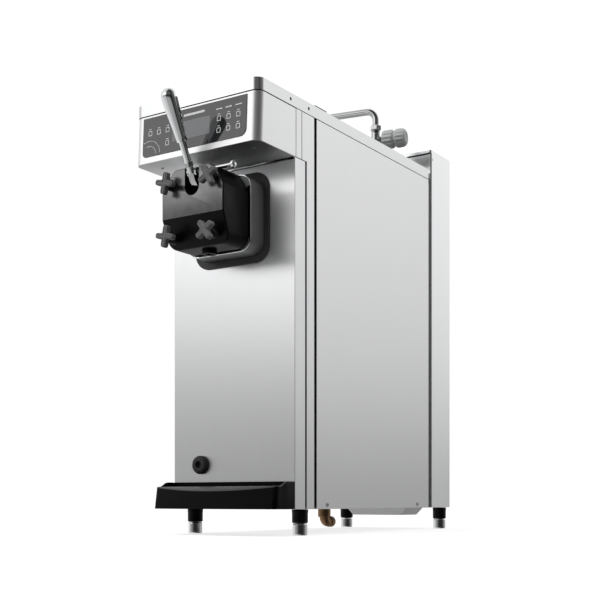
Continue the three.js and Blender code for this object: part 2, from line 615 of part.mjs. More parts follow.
function addHopperLid() {
  const plan = (grow) => roundedBox(-hopperLid.half - grow, hopperLid.half + grow, hopperLid.front - grow,
    hopperLid.rear + grow, hopper.corner + 8);
  const outer = alongZ(plan(0), lid.top + 3.5, hopperLid.top, 4);
  const hollow = alongZ(plan(-SHEET), lid.top + 2, hopperLid.top - SHEET, 4);
  const grips = [-1, 1].map((side) => block(side * 88 - 5, side * 88 + 5, 120, 162,
    hopperLid.top - 1, hopperLid.gripTop));
  add("hopper_lid", polished, join(cut(outer, hollow), ...grips));
}

function addFeedTube() {
  const tube = ring("z", 5, 8, cylinder.z + cylinder.outer + 2, 700, 20);
  add("feed_tube", whitePlastic, tube.translate(0, 150, 0));
}

// ---------- rinsing tap ----------
function addTap() {
  const column = spun([[0, lid.top - 12], [9, lid.top - 12], [9, lid.top + GAP], [15, lid.top + GAP],
    [15, lid.top + 5], [9, lid.top + 6], [9, tap.nut - GAP], [0, tap.nut - GAP]], "z", 16);
  const stub = rod("x", 8, 0, 16, 16).translate(0, 0, tap.branch);
  const spindleBore = rod("x", 3.4, 8, 17, 12).translate(0, 0, tap.branch);
  const spigotBore = rod("z", 5, tap.nut - 12, tap.nut + 1, 16);
  add("tap_body", chrome, cut(join(column, stub), spindleBore, spigotBore).rotateZ(tap.turn)
    .translate(tap.x, tap.y, 0));
  const knob = spun([[0, 9], [3, 9], [3, 16.5], [15, 16.5], [18, 19], [18.6, 37], [16, 38.5],
    [13.5, 40], [13.5, 42], [17, 43.5], [18.6, 46], [18.2, 58], [15.5, 63], [10, 65.6], [0, 66]], "x", 20);
  add("tap_knob", tapGrey, knob.translate(0, 0, tap.branch).rotateZ(tap.turn).translate(tap.x, tap.y, 0));
  addSpout();
}

function addSpout() {
  const bend = 20;
  const reach = 128;
  const way = new THREE.CurvePath();
  const p = (x, z) => new THREE.Vector3(x, 0, z);
  way.add(new THREE.LineCurve3(p(0, tap.nut + 4), p(0, tap.spout - bend)));
  way.add(new THREE.QuadraticBezierCurve3(p(0, tap.spout - bend), p(0, tap.spout), p(-bend, tap.spout)));
  way.add(new THREE.LineCurve3(p(-bend, tap.spout), p(-reach + bend, tap.spout)));
  way.add(new THREE.QuadraticBezierCurve3(p(-reach + bend, tap.spout), p(-reach, tap.spout),
    p(-reach, tap.spout - bend)));
  way.add(new THREE.LineCurve3(p(-reach, tap.spout - bend), p(-reach, tap.spout - bend - 14)));
  const pipe = new THREE.ExtrudeGeometry(new THREE.Shape().absarc(0, 0, 6.5, 0, Math.PI * 2), {
    steps: 30, curveSegments: 6, bevelEnabled: false, extrudePath: way });
  const nut = spun([[0, tap.nut - 10], [4.4, tap.nut - 10], [4.4, tap.nut], [10.6, tap.nut],
    [11.6, tap.nut + 2], [11.6, tap.nut + 9], [9, tap.nut + 10.5], [0, tap.nut + 10.5]], "z", 12);
  const outlet = rod("z", 4.5, 790, tap.spout - bend - 6, 12).translate(-reach, 0, 0);
  add("tap_spout", chrome, cut(join(pipe, nut), outlet).rotateZ(tap.turn).translate(tap.x, tap.y, 0));
}

addBasePan();
addFrontPost("front_post_right", 1);
addFrontPost("front_post_left", -1);
addFrontPanel();
addSidePanels();
addHeadBox();
addControls();
addLid();
addRearDuct();
addDuctGrille();
addPowerInlet();
addFeet();
addDripTray();
addDrainGrommet();
addDrainElbow();
addTrimRing();
addFreezingCylinder();
addDispensingDoor();
addDoorSeal();
addNozzle();
addStudsAndKnobs();
addLever();
addLeverPin();
addPiston();
addBeater();
addShaftSeal();
addGearbox();
addDrive();
addCooling();
addHopper();
addHopperLid();
addFeedTube();
addTap();

group.children.forEach((mesh) => mesh.geometry.translate(0, -rowShift, 0));

export default group;
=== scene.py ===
"""Looks of the soft-serve ice cream maker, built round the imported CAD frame.

Shapes are drawn in millimetres in the machine's own frame: X from the middle, Y back from the front panel's
face, Z up from the floor. machine_to_frame() turns them into the frame's metres. Most sizes come from the CAD
nodes' boxes.
"""
import math

import bmesh
import bpy
from mathutils import Matrix, Vector


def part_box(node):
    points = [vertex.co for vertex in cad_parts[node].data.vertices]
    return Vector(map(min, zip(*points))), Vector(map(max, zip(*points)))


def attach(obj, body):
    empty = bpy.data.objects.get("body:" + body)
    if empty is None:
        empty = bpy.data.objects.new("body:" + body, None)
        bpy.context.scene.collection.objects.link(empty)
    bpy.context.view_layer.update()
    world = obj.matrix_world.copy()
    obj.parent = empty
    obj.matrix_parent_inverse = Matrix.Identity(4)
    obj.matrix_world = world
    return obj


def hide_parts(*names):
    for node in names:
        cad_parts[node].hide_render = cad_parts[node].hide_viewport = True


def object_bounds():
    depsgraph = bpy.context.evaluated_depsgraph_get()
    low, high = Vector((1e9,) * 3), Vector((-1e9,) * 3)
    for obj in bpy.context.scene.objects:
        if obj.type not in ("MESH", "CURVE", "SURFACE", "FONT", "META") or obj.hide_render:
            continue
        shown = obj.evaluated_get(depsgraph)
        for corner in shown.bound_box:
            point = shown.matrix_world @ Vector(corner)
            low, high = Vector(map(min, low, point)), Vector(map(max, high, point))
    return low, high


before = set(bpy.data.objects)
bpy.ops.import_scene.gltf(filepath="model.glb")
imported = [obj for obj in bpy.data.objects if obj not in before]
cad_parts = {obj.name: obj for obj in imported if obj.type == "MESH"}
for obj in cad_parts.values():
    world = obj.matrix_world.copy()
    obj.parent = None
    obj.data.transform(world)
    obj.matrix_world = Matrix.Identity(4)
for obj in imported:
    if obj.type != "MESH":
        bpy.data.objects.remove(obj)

cad_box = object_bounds()
MM = 0.001
PANEL_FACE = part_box("front_panel")[0].y
SHEET = 1.5  # thickness of the stainless sheet


# ---------- places ----------
def machine_to_frame(point):
    return Vector((point[0] * MM, point[1] * MM + PANEL_FACE, point[2] * MM))


def span(node):
    """A CAD node's extent in the machine's millimetres: (x0, x1), (y0, y1), (z0, z1)."""
    low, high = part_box(node)
    shift = (0, PANEL_FACE, 0)
    return tuple(((low[i] - shift[i]) / MM, (high[i] - shift[i]) / MM) for i in range(3))


def middle(node):
    return Vector([(low + high) / 2 for low, high in span(node)])


def half_width(node):
    """Half of a CAD node's extent in X."""
    low, high = span(node)[0]
    return (high - low) / 2


# ---------- camera, lights, floor ----------
def make_camera():
    camera = bpy.data.objects.new("camera", bpy.data.cameras.new("camera"))
    bpy.context.scene.collection.objects.link(camera)
    camera.location = (1.13707, -1.71595, 0.06184)
    camera.rotation_euler = (math.radians(90), 0, math.radians(33.418))
    camera.data.sensor_width = 36
    camera.data.lens = 65.42
    camera.data.shift_y = 0.33178
    camera.data.clip_start = 0.05
    camera.data.clip_end = 60
    bpy.context.scene.camera = camera


class Nodes:
    """A node tree with short calls for the few nodes used here."""

    def __init__(self, tree):
        self.tree = tree
        tree.nodes.clear()

    def add(self, kind, **settings):
        node = self.tree.nodes.new(kind)
        for key, value in settings.items():
            setattr(node, key, value)
        return node

    def link(self, source, target):
        self.tree.links.new(source, target)

    def feed(self, node, *values):
        """Sets a node's first inputs to values or links them to sockets. Returns its first output."""
        for socket, value in zip(node.inputs, values):
            if isinstance(value, bpy.types.NodeSocket):
                self.link(value, socket)
            else:
                socket.default_value = value
        return node.outputs[0]

    def math(self, operation, *values):
        return self.feed(self.add("ShaderNodeMath", operation=operation), *values)

    def remap(self, value, low, high, to_low, to_high, smooth=True):
        node = self.add("ShaderNodeMapRange", interpolation_type="SMOOTHSTEP" if smooth else "LINEAR")
        return self.feed(node, value, low, high, to_low, to_high)

    def ramp(self, value, stops):
        node = self.add("ShaderNodeValToRGB")
        elements = node.color_ramp.elements
        while len(elements) > 1:
            elements.remove(elements[-1])
        for i, (place, color) in enumerate(stops):
            element = elements[0] if i == 0 else elements.new(place)
            element.position = place
            element.color = (*color, 1)
        self.link(value, node.inputs["Fac"])
        return node.outputs["Color"]

    def noise(self, scale, stretch, detail):
        place = self.add("ShaderNodeTexCoord").outputs["Object"]
        mapping = self.add("ShaderNodeMapping")
        mapping.inputs["Scale"].default_value = stretch
        self.link(place, mapping.inputs["Vector"])
        node = self.add("ShaderNodeTexNoise")
        node.inputs["Scale"].default_value = scale
        node.inputs["Detail"].default_value = detail
        node.inputs["Roughness"].default_value = 0.5
        self.link(mapping.outputs["Vector"], node.inputs["Vector"])
        return node.outputs["Fac"]

    def background(self, color, strength):
        return self.feed(self.add("ShaderNodeBackground"), color, strength)

    def mix_shaders(self, factor, first, second):
        return self.feed(self.add("ShaderNodeMixShader"), factor, first, second)

    def mix_colors(self, factor, first, second):
        node = self.add("ShaderNodeMix", data_type="RGBA")
        self.link(factor, node.inputs["Factor"])
        for socket, value in zip(node.inputs[6:8], (first, second)):
            if isinstance(value, tuple):
                socket.default_value = (*value, 1)
            else:
                self.link(value, socket)
        return node.outputs[2]


# tones seen by shiny parts, as (sine of the height over the horizon, tone)
FRONT_TONES = ((-0.5, 0.6), (-0.25, 0.6), (-0.1, 0.34), (0.0, 0.28), (0.05, 0.36), (0.1, 0.5), (0.15, 0.82),
               (0.2, 1.45), (0.3, 1.7), (0.5, 1.3), (0.7, 0.8), (1.0, 0.6))
REAR_TONES = ((-0.5, 0.25), (-0.25, 0.5), (-0.1, 0.48), (0.0, 0.42), (0.06, 0.62), (0.12, 0.8), (0.2, 0.92),
              (0.3, 1.0), (0.4, 1.1), (0.6, 1.0), (1.0, 0.6))
LEFT_GREY = (0.4, 0.4, 0.4)
LOWEST = -0.6  # sine at which the ramps of tones begin
TONE_SCALE = 2.0  # a ramp's colours stay under 1, so tones are divided by this and multiplied back
TO_CAMERA = (0.602, -0.799)
BACKWARDS = (0.55, 0.83)


def make_world():
    """A white studio. The camera sees plain white, and matt parts get soft light, stronger from above. Shiny
    parts see tones that change with the height, FRONT_TONES in front and REAR_TONES behind, a grey field at
    the far left, and dark fields at the far right and where the camera stands."""
    world = bpy.data.worlds.new("studio")
    bpy.context.scene.world = world
    world.use_nodes = True
    n = Nodes(world.node_tree)
    split = n.add("ShaderNodeSeparateXYZ")
    n.link(n.add("ShaderNodeTexCoord").outputs["Generated"], split.inputs[0])
    x, y, z = split.outputs

    def total(a, b):
        return n.math("ADD", n.math("MULTIPLY", x, a), n.math("MULTIPLY", y, b))

    def tones(stops):
        placed = [((sine - LOWEST) / (1 - LOWEST), (tone / TONE_SCALE,) * 3) for sine, tone in stops]
        return n.ramp(height, placed)

    level = n.math("SQRT", total(x, y))
    sideways = n.math("DIVIDE", x, level)
    towards_camera = n.math("DIVIDE", total(*TO_CAMERA), level)
    height = n.remap(z, LOWEST, 1.0, 0.0, 1.0, smooth=False)
    behind = n.remap(total(*BACKWARDS), -0.35, 0.35, 0.0, 1.0)
    leftward = n.remap(sideways, -0.9, -0.68, 1.0, 0.0)
    color = n.mix_colors(leftward, n.mix_colors(behind, tones(FRONT_TONES), tones(REAR_TONES)), LEFT_GREY)
    gap = n.math("MAXIMUM", n.remap(towards_camera, 0.6, 0.87, 1.0, 0.08), n.remap(z, -0.44, -0.24, 0.6, 0.0))
    rightward = n.remap(sideways, 0.8, 0.95, 1.0, 0.15)
    gloss = n.background(color, n.math("MULTIPLY", n.math("MULTIPLY", gap, rightward), TONE_SCALE))
    soft = n.background((1, 1, 1, 1), n.remap(z, -0.35, 0.35, 0.06, 0.7))
    white = n.background((1, 1, 1, 1), 1.02)
    path = n.add("ShaderNodeLightPath")
    lit = n.mix_shaders(path.outputs["Is Glossy Ray"], soft, gloss)
    seen = n.mix_shaders(path.outputs["Is Camera Ray"], lit, white)
    n.link(seen, n.add("ShaderNodeOutputWorld").inputs["Surface"])


def make_light(name, place, aim, size, power):
    light = bpy.data.objects.new(name, bpy.data.lights.new(name, "AREA"))
    light.visible_glossy = False
    light.data.shape = "RECTANGLE"
    light.data.size, light.data.size_y = size
    light.data.energy = power
    light.location = place
    light.rotation_euler = (Vector(aim) - Vector(place)).to_track_quat("-Z", "Y").to_euler()
    bpy.context.scene.collection.objects.link(light)


def make_floor():
    material = bpy.data.materials.new("floor")
    material.use_nodes = True
    n = Nodes(material.node_tree)
    paper = n.add("ShaderNodeBsdfPrincipled")
    paper.inputs["Base Color"].default_value = (0.45, 0.45, 0.45, 1)
    paper.inputs["Roughness"].default_value = 1.0
    paper.inputs["Specular IOR Level"].default_value = 0.0
    paper.inputs["Emission Color"].default_value = (1, 1, 1, 1)
    paper.inputs["Emission Strength"].default_value = 0.72
    n.link(paper.outputs[0], n.add("ShaderNodeOutputMaterial").inputs["Surface"])
    bm = bmesh.new()
    bmesh.ops.create_circle(bm, cap_ends=True, segments=96, radius=12)
    mesh = bpy.data.meshes.new("floor")
    bm.to_mesh(mesh)
    bm.free()
    floor = bpy.data.objects.new("floor", mesh)
    bpy.context.scene.collection.objects.link(floor)
    floor.location.z = cad_box[0].z
    floor.visible_glossy = False
    floor.visible_diffuse = False
    mesh.materials.append(material)


# ---------- materials ----------
EVEN = (1, 1, 1)
ALONG_X, ALONG_Y, ALONG_Z = (0.15, 8, 8), (8, 0.15, 8), (8, 8, 0.15)


def surface(name, base, roughness, metallic=0.0, spread=0.06, grain=60, grain_way=EVEN, fine=900,
            fine_way=EVEN, bump=0.02, uneven=0.12, **extra):
    """A Principled surface. grain is the scale of the noise that varies its colour by spread and its
    roughness by uneven, fine is the scale of its relief, the ways are their stretches, and extra sets other
    sockets."""
    material = bpy.data.materials.new(name)
    material.use_nodes = True
    n = Nodes(material.node_tree)
    shader = n.add("ShaderNodeBsdfPrincipled")
    shader.inputs["Metallic"].default_value = metallic
    for key, value in extra.items():
        shader.inputs[key.replace("_", " ")].default_value = value
    streaks = n.noise(grain, grain_way, 4)
    relief = n.noise(fine, fine_way, 2)
    dark = tuple(c * (1 - spread) for c in base)
    light = tuple(min(c * (1 + spread), 1) for c in base)
    n.link(n.mix_colors(streaks, dark, light), shader.inputs["Base Color"])
    rough = n.remap(streaks, 0.3, 0.7, roughness * (1 - uneven), roughness * (1 + uneven))
    n.link(rough, shader.inputs["Roughness"])
    relief_node = n.add("ShaderNodeBump")
    relief_node.inputs["Strength"].default_value = bump
    relief_node.inputs["Distance"].default_value = 0.0005
    n.link(relief, relief_node.inputs["Height"])
    n.link(relief_node.outputs["Normal"], shader.inputs["Normal"])
    n.link(shader.outputs[0], n.add("ShaderNodeOutputMaterial").inputs["Surface"])
    return material


def steel(name, base, roughness, way, grain=70, fine=200, spread=0.02, **more):
    """Stainless sheet whose grain runs along the axis with the small stretch."""
    return surface(name, base, roughness, 1.0, spread, grain, way, fine, way, **more)


def brushed(name, way):
    return steel(name, (0.83, 0.835, 0.84), 0.3, way, bump=0.003, uneven=0.05, Anisotropic=0.8)


def chrome(name, base, roughness, spread):
    return surface(name, base, roughness, 1.0, spread, 25, fine=120, bump=0.006)


def plastic(name, base, roughness, spread, grain, fine, bump, **extra):
    return surface(name, base, roughness, 0.0, spread, grain, fine=fine, bump=bump, **extra)


MATERIALS = {
    "steel": brushed("brushed_steel_upright", ALONG_Z),
    "steel_x": brushed("brushed_steel_across", ALONG_X),
    "lid_steel": steel("lid_steel", (0.72, 0.725, 0.73), 0.24, ALONG_Y, bump=0.01),
    "duct_steel": steel("duct_steel", (0.84, 0.845, 0.85), 0.24, ALONG_Z, 60, 160, 0.05, bump=0.05),
    "polished": surface("polished_steel", (0.72, 0.725, 0.73), 0.12, 1.0, 0.03, 40, EVEN, 300, ALONG_X,
                        0.015),
    "chrome": chrome("bright_chrome", (0.86, 0.87, 0.88), 0.05, 0.02),
    # The darker copy of the chrome below, used on the tap, the spout and the lever's small parts, is painted
    # shade.
    "shade_darkened_chrome": chrome("chrome_darkened_as_shade", (0.52, 0.525, 0.53), 0.06, 0.03),
    "screw": surface("zinc_screw", (0.42, 0.42, 0.43), 0.3, 1.0, 0.08, 400, bump=0.05),
    "dark_screw": surface("dark_screw", (0.1, 0.1, 0.102), 0.4, 1.0, 0.08, 400, bump=0.05),
    "collar": surface("satin_collar", (0.36, 0.364, 0.368), 0.45, 0.75, 0.04, 50, ALONG_Y, 200, ALONG_Y,
                      0.03),
    "brass": surface("tarnished_brass", (0.27, 0.165, 0.085), 0.36, 1.0, 0.45, 110, fine=700, bump=0.2),
    "aluminium": surface("cast_aluminium", (0.6, 0.61, 0.62), 0.42, 1.0, 0.08, 150, bump=0.3),
    "trim": plastic("trim_moulding", (0.045, 0.045, 0.047), 0.42, 0.1, 90, 1400, 0.1),
    "black": plastic("black_plastic", (0.004, 0.004, 0.0045), 0.34, 0.12, 90, 1400, 0.1,
                     Specular_IOR_Level=0.14),
    "tray": plastic("tray_plastic", (0.002, 0.002, 0.002), 0.38, 0.2, 40, 1400, 0.08, grain_way=(0.3, 1, 4),
                    Specular_IOR_Level=0.05),
    # A lighter, glossier copy of the tray's plastic for its rim, while the body's copy above has its reflection
    # nearly turned off: painted highlight on the rim.
    "tray_rim_painted_highlight": plastic("tray_plastic_painted_highlight", (0.005, 0.005, 0.005), 0.3, 0.1, 60, 1400, 0.04, IOR=1.6),
    "door": plastic("door_plastic", (0.006, 0.006, 0.0065), 0.28, 0.08, 70, 1600, 0.06,
                    Specular_IOR_Level=1.0, IOR=1.9),
    # The door's plastic again, darker and duller, for the faces that turn sideways or downwards: painted shade.
    "door_painted_shade": plastic("door_plastic_painted_shade", (0.0025, 0.0025, 0.003), 0.32, 0.08, 70, 1600, 0.08,
                         Specular_IOR_Level=0.15),
    "knob": plastic("knob_plastic", (0.16, 0.161, 0.165), 0.45, 0.1, 120, 1500, 0.15),
    "tap_grey": plastic("tap_plastic", (0.46, 0.465, 0.47), 0.42, 0.08, 140, 1500, 0.12),
    "white": plastic("white_plastic", (0.78, 0.78, 0.75), 0.35, 0.04, 60, 1200, 0.06),
    "rubber": plastic("black_rubber", (0.014, 0.014, 0.014), 0.62, 0.2, 200, 1800, 0.25),
    "film": plastic("printed_film", (0.016, 0.0165, 0.018), 0.04, 0.05, 60, 1100, 0.005,
                    Specular_IOR_Level=0.9),
    "window": plastic("display_window", (0.2, 0.205, 0.21), 0.07, 0.04, 60, 800, 0.005),
    "print": plastic("light_print", (0.8, 0.81, 0.82), 0.25, 0.05, 60, 900, 0.01),
    "board": plastic("circuit_board", (0.03, 0.16, 0.07), 0.4, 0.2, 300, 900, 0.1),
    "painted": plastic("black_paint", (0.03, 0.03, 0.033), 0.3, 0.15, 60, 500, 0.12),
}


# ---------- mesh helpers ----------
def plan(a, b, level):
    return Vector((a, b, level))


def facing_front(a, b, level):
    return Vector((a, level, b))


def facing_side(a, b, level):
    return Vector((level, a, b))


def rounded(a0, a1, b0, b1, radii, steps=10):
    """A rounded rectangle, anticlockwise from its low left corner. radii is one number or one per corner."""
    radii = radii if isinstance(radii, (list, tuple)) else (radii,) * 4
    corners = ((a0, b0, 1, 1, 180), (a1, b0, -1, 1, 270), (a1, b1, -1, -1, 0), (a0, b1, 1, -1, 90))
    points = []
    for (a, b, in_a, in_b, start), r in zip(corners, radii):
        turns = range(steps + 1) if r > 0 else (0,)
        for i in turns:
            angle = math.radians(start + 90 * i / steps)
            points.append((a + in_a * r + r * math.cos(angle), b + in_b * r + r * math.sin(angle)))
    return points


def angles(start, end, steps):
    """Evenly spaced angles in radians between two in degrees."""
    return [math.radians(start + (end - start) * i / steps) for i in range(steps + 1)]


def arc(a, b, radius, start, end, steps):
    return [(a + radius * math.cos(t), b + radius * math.sin(t)) for t in angles(start, end, steps)]


def circle(a, b, radius, steps=40):
    return arc(a, b, radius, 0, 360, steps)[:-1]


def add_loop(bm, points, place, level):
    verts = [bm.verts.new(place(a, b, level)) for a, b in points]
    return verts, [bm.edges.new((verts[i - 1], verts[i])) for i in range(len(verts))]


def add_face(bm, outline, holes, place, level):
    """A flat face with holes. Returns the outline's vertices and the holes' vertices."""
    loops = [add_loop(bm, points, place, level) for points in (outline, *holes)]
    if holes:
        bmesh.ops.triangle_fill(bm, use_beauty=True, edges=[e for _, edges in loops for e in edges])
    else:
        bm.faces.new(loops[0][0])
    return [verts for verts, _ in loops]


def add_walls(bm, verts, other, closed=True):
    for i in range(0 if closed else 1, len(verts)):
        bm.faces.new((verts[i - 1], verts[i], other[i], other[i - 1]))


def add_bands(bm, rings):
    for one, two in zip(rings, rings[1:]):
        add_walls(bm, one, two)


def add_skirt(bm, verts, level):
    """Walls from a loop of vertices straight up or down to a level. Returns the vertices there."""
    other = [bm.verts.new((v.co.x, v.co.y, level)) for v in verts]
    add_walls(bm, verts, other)
    return other


def add_plate(bm, outline, place, low, high, holes=()):
    """A solid plate with holes between two levels."""
    below = add_face(bm, outline, holes, place, low)
    above = add_face(bm, outline, holes, place, high)
    for one, two in zip(below, above):
        add_walls(bm, one, two)


AXES = {
    "x": (Vector((0, 1, 0)), Vector((0, 0, 1)), Vector((1, 0, 0))),
    "y": (Vector((0, 0, 1)), Vector((1, 0, 0)), Vector((0, 1, 0))),
    "z": (Vector((1, 0, 0)), Vector((0, 1, 0)), Vector((0, 0, 1))),
}


def add_turned(bm, profile, axis, origin=(0, 0, 0), steps=48, closed=False, ripple=None):
    """A turned shape. profile is (radius, distance along the axis) and is closed if it ends where it begins.
    ripple(angle, distance) adds to the radius."""
    u, v, w = AXES[axis]
    rings = []
    for radius, distance in profile:
        centre = Vector(origin) + w * distance
        if radius == 0:
            rings.append([bm.verts.new(centre)])
            continue
        ring = []
        for i in range(steps):
            angle = 2 * math.pi * i / steps
            r = radius + (ripple(angle, distance) if ripple else 0)
            ring.append(bm.verts.new(centre + (u * math.cos(angle) + v * math.sin(angle)) * r))
        rings.append(ring)
    pairs = zip(rings, rings[1:] + rings[:1]) if closed else zip(rings, rings[1:])
    for one, two in pairs:
        for i in range(max(len(one), len(two))):
            around = [one[i % len(one)], one[(i + 1) % len(one)], two[(i + 1) % len(two)], two[i % len(two)]]
            corners = list(dict.fromkeys(around))
            if len(corners) > 2:
                bm.faces.new(corners)


def rod(radius, low, high):
    """The profile of a plain round bar."""
    return [(0, low), (radius, low), (radius, high), (0, high)]


def add_swept(bm, points, radius, steps=28):
    """A round bar along points, with its ends closed. radius is a number or one for each point."""
    points = [Vector(p) for p in points]
    radii = radius if isinstance(radius, list) else [radius] * len(points)
    turns = [2 * math.pi * k / steps for k in range(steps)]
    normal = None
    rings = []
    for i, (point, r) in enumerate(zip(points, radii)):
        ahead = points[min(i + 1, len(points) - 1)] - points[max(i - 1, 0)]
        ahead.normalize()
        if normal is None:
            normal = ahead.orthogonal().normalized()
        normal = (normal - ahead * normal.dot(ahead)).normalized()
        across = ahead.cross(normal)
        rings.append([bm.verts.new(point + (normal * math.cos(t) + across * math.sin(t)) * r) for t in turns])
    add_bands(bm, rings)
    bm.faces.new(rings[0])
    bm.faces.new(rings[-1])


def bend(corner, way_in, way_out, radius, steps=12):
    """Points of a round bend at a corner between two directions."""
    way_in, way_out = Vector(way_in).normalized(), Vector(way_out).normalized()
    turn = way_in.angle(way_out)
    start = Vector(corner) - way_in * radius * math.tan(turn / 2)
    inward = (way_out - way_in * way_out.dot(way_in)).normalized()
    centre = start + inward * radius
    turns = [turn * i / steps for i in range(steps + 1)]
    return [centre - inward * radius * math.cos(t) + way_in * radius * math.sin(t) for t in turns]


def to_object(bm, name, material, angle=32, turn=None):
    """Turns a mesh drawn in machine millimetres into an object, smooth except at edges sharper than angle."""
    bmesh.ops.remove_doubles(bm, verts=bm.verts, dist=1e-3)
    bmesh.ops.recalc_face_normals(bm, faces=bm.faces)
    if turn is not None:
        bmesh.ops.transform(bm, matrix=turn, verts=bm.verts)
    for vert in bm.verts:
        vert.co = machine_to_frame(vert.co)
    mark_smooth(bm, angle)
    mesh = bpy.data.meshes.new(name)
    bm.to_mesh(mesh)
    bm.free()
    mesh.materials.append(MATERIALS[material])
    thing = bpy.data.objects.new(name, mesh)
    bpy.context.scene.collection.objects.link(thing)
    return thing


def mark_smooth(bm, angle):
    for face in bm.faces:
        face.smooth = True
    for edge in bm.edges:
        edge.smooth = len(edge.link_faces) != 2 or edge.calc_face_angle() < math.radians(angle)


def plate(name, material, outline, place, low, high, holes=(), angle=32):
    bm = bmesh.new()
    add_plate(bm, outline, place, low, high, holes)
    return to_object(bm, name, material, angle)


def lathe(name, material, profile, axis, origin, steps=48, angle=32, turn=None, **more):
    bm = bmesh.new()
    add_turned(bm, profile, axis, origin, steps, **more)
    return to_object(bm, name, material, angle, turn)


def modified(thing, kind, **settings):
    modifier = thing.modifiers.new(kind.lower(), kind)
    for key, value in settings.items():
        setattr(modifier, key, value)
    return thing


def bevelled(thing, width, segments=3, angle=32):
    return modified(thing, "BEVEL", width=width * MM, segments=segments, limit_method="ANGLE",
                    angle_limit=math.radians(angle), use_clamp_overlap=True, harden_normals=True)


def folded(thing):
    """Gives a skin the thickness of the sheet, inwards."""
    return modified(thing, "SOLIDIFY", thickness=SHEET * MM, offset=-1, use_even_offset=True)


def carved(thing, cutters, operation="DIFFERENCE", angle=32):
    """Cuts the cutters out of thing, or joins them to it, and removes them."""
    for cutter in cutters:
        modified(thing, "BOOLEAN", object=cutter, operation=operation, solver="EXACT")
    graph = bpy.context.evaluated_depsgraph_get()
    shape = bpy.data.meshes.new_from_object(thing.evaluated_get(graph))
    thing.modifiers.clear()
    bm = bmesh.new()
    bm.from_mesh(shape)
    bmesh.ops.remove_doubles(bm, verts=bm.verts, dist=1e-6)
    mark_smooth(bm, angle)
    bm.to_mesh(shape)
    bm.free()
    thing.data = shape
    for cutter in cutters:
        bpy.data.objects.remove(cutter)
    return thing


def stands_for(thing, body, slot, *nodes):
    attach(thing, body)
    if nodes:
        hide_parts(*nodes)


def fixed(thing, slot, *nodes):
    stands_for(thing, "machine", slot, *nodes)


# ---------- casing ----------
HANDS = (("right", 1), ("left", -1))
HEAD_LEAN = 4.3  # how far the head's face comes forward towards its lower edge
HEAD_CORNER = 15
LID_GAP = 0.5  # dark line left under the lid, besides the CAD's own gap
FLUSH = 0.4  # sheet kept this far inside the CAD side, so that screw heads stay within the box
HOPPER_RIM = 8.0  # how far the hopper's rim reaches past its mouth
DUCT_FRONT = 503.0


def face_point(x, z, proud=0.0):
    """A point on the head's leaning face."""
    _, (y0, _), (z0, z1) = span("head_box")
    return Vector((x, y0 + HEAD_LEAN * (z - z0) / (z1 - z0) - proud, z))


def make_lid():
    (_, half), (y0, y1), (z0, z1) = span("lid")
    half -= FLUSH
    (_, mouth_half), (mouth_front, mouth_back), _ = span("hopper")
    under = HOPPER_RIM - 0.5  # how much of the lid the hopper's rim covers
    mouth_half -= under
    mouth = rounded(-mouth_half, mouth_half, mouth_front + under, mouth_back - under, 25)
    outline = rounded(-half, half, y0, y1, (HEAD_CORNER, HEAD_CORNER, 1.5, 1.5))
    bm = bmesh.new()
    rim = add_face(bm, outline, [mouth, circle(*TAP, 9.5)], plan, z1)[0]
    add_skirt(bm, rim, z0)
    fixed(bevelled(folded(to_object(bm, "lid_cover", "lid_steel")), 1.4), "brushed_stainless", "lid")


def make_head():
    (x0, x1), (y0, y1), (z0, z1) = span("head_box")
    z1 -= LID_GAP
    outline = rounded(x0, x1, y0, y1, (HEAD_CORNER, HEAD_CORNER, 0, 0), 14)
    path = outline[-1:] + outline[:-1]  # from the rear left corner round the front to the rear right one

    def lean(a, b, level):
        scale = 1 - HEAD_LEAN / (y1 - y0) * (level - z0) / (z1 - z0)
        return Vector((a, y1 + (b - y1) * scale, level))

    bm = bmesh.new()
    below, above = ([bm.verts.new(lean(a, b, level)) for a, b in path] for level in (z0, z1))
    add_walls(bm, below, above, closed=False)
    bm.faces.new(below)
    fixed(bevelled(folded(to_object(bm, "head_cover", "steel_x")), 1.6), "brushed_stainless", "head_box")


def make_front_panel():
    (x0, x1), (y0, y1), (z0, z1) = span("front_panel")
    (wx0, wx1), _, (wz0, wz1) = span("trim_ring")
    window = rounded(wx0 + 10.4, wx1 - 10.4, wz0 + 12, wz1 - 12, 23)
    bm = bmesh.new()
    corners, _ = add_face(bm, rounded(x0, x1, z0, z1, 0), [window], facing_front, y0)
    for side in (x0, x1):
        ends = [v for v in corners if abs(v.co.x - side) < 0.01]
        back = [bm.verts.new((v.co.x, y1, v.co.z)) for v in ends]
        hem = [bm.verts.new((v.co.x - math.copysign(9, v.co.x), y1, v.co.z)) for v in ends]
        add_walls(bm, ends, back, closed=False)
        add_walls(bm, back, hem, closed=False)
    panel = bevelled(folded(to_object(bm, "front_panel_skin", "steel")), 1.2)
    fixed(panel, "brushed_stainless", "front_panel")
    bead = [(0.2, -3.6), (-0.7, -2.5), (-1.3, -1.2), (-1.8, 0.1), (0.2, 0.1)]
    outline = [(y0 + out, z1 + up) for out, up in bead]
    hem = plate("front_panel_hem", "chrome", outline, facing_side, x0 + 1, x1 - 1, angle=12)
    fixed(hem, "brushed_stainless")


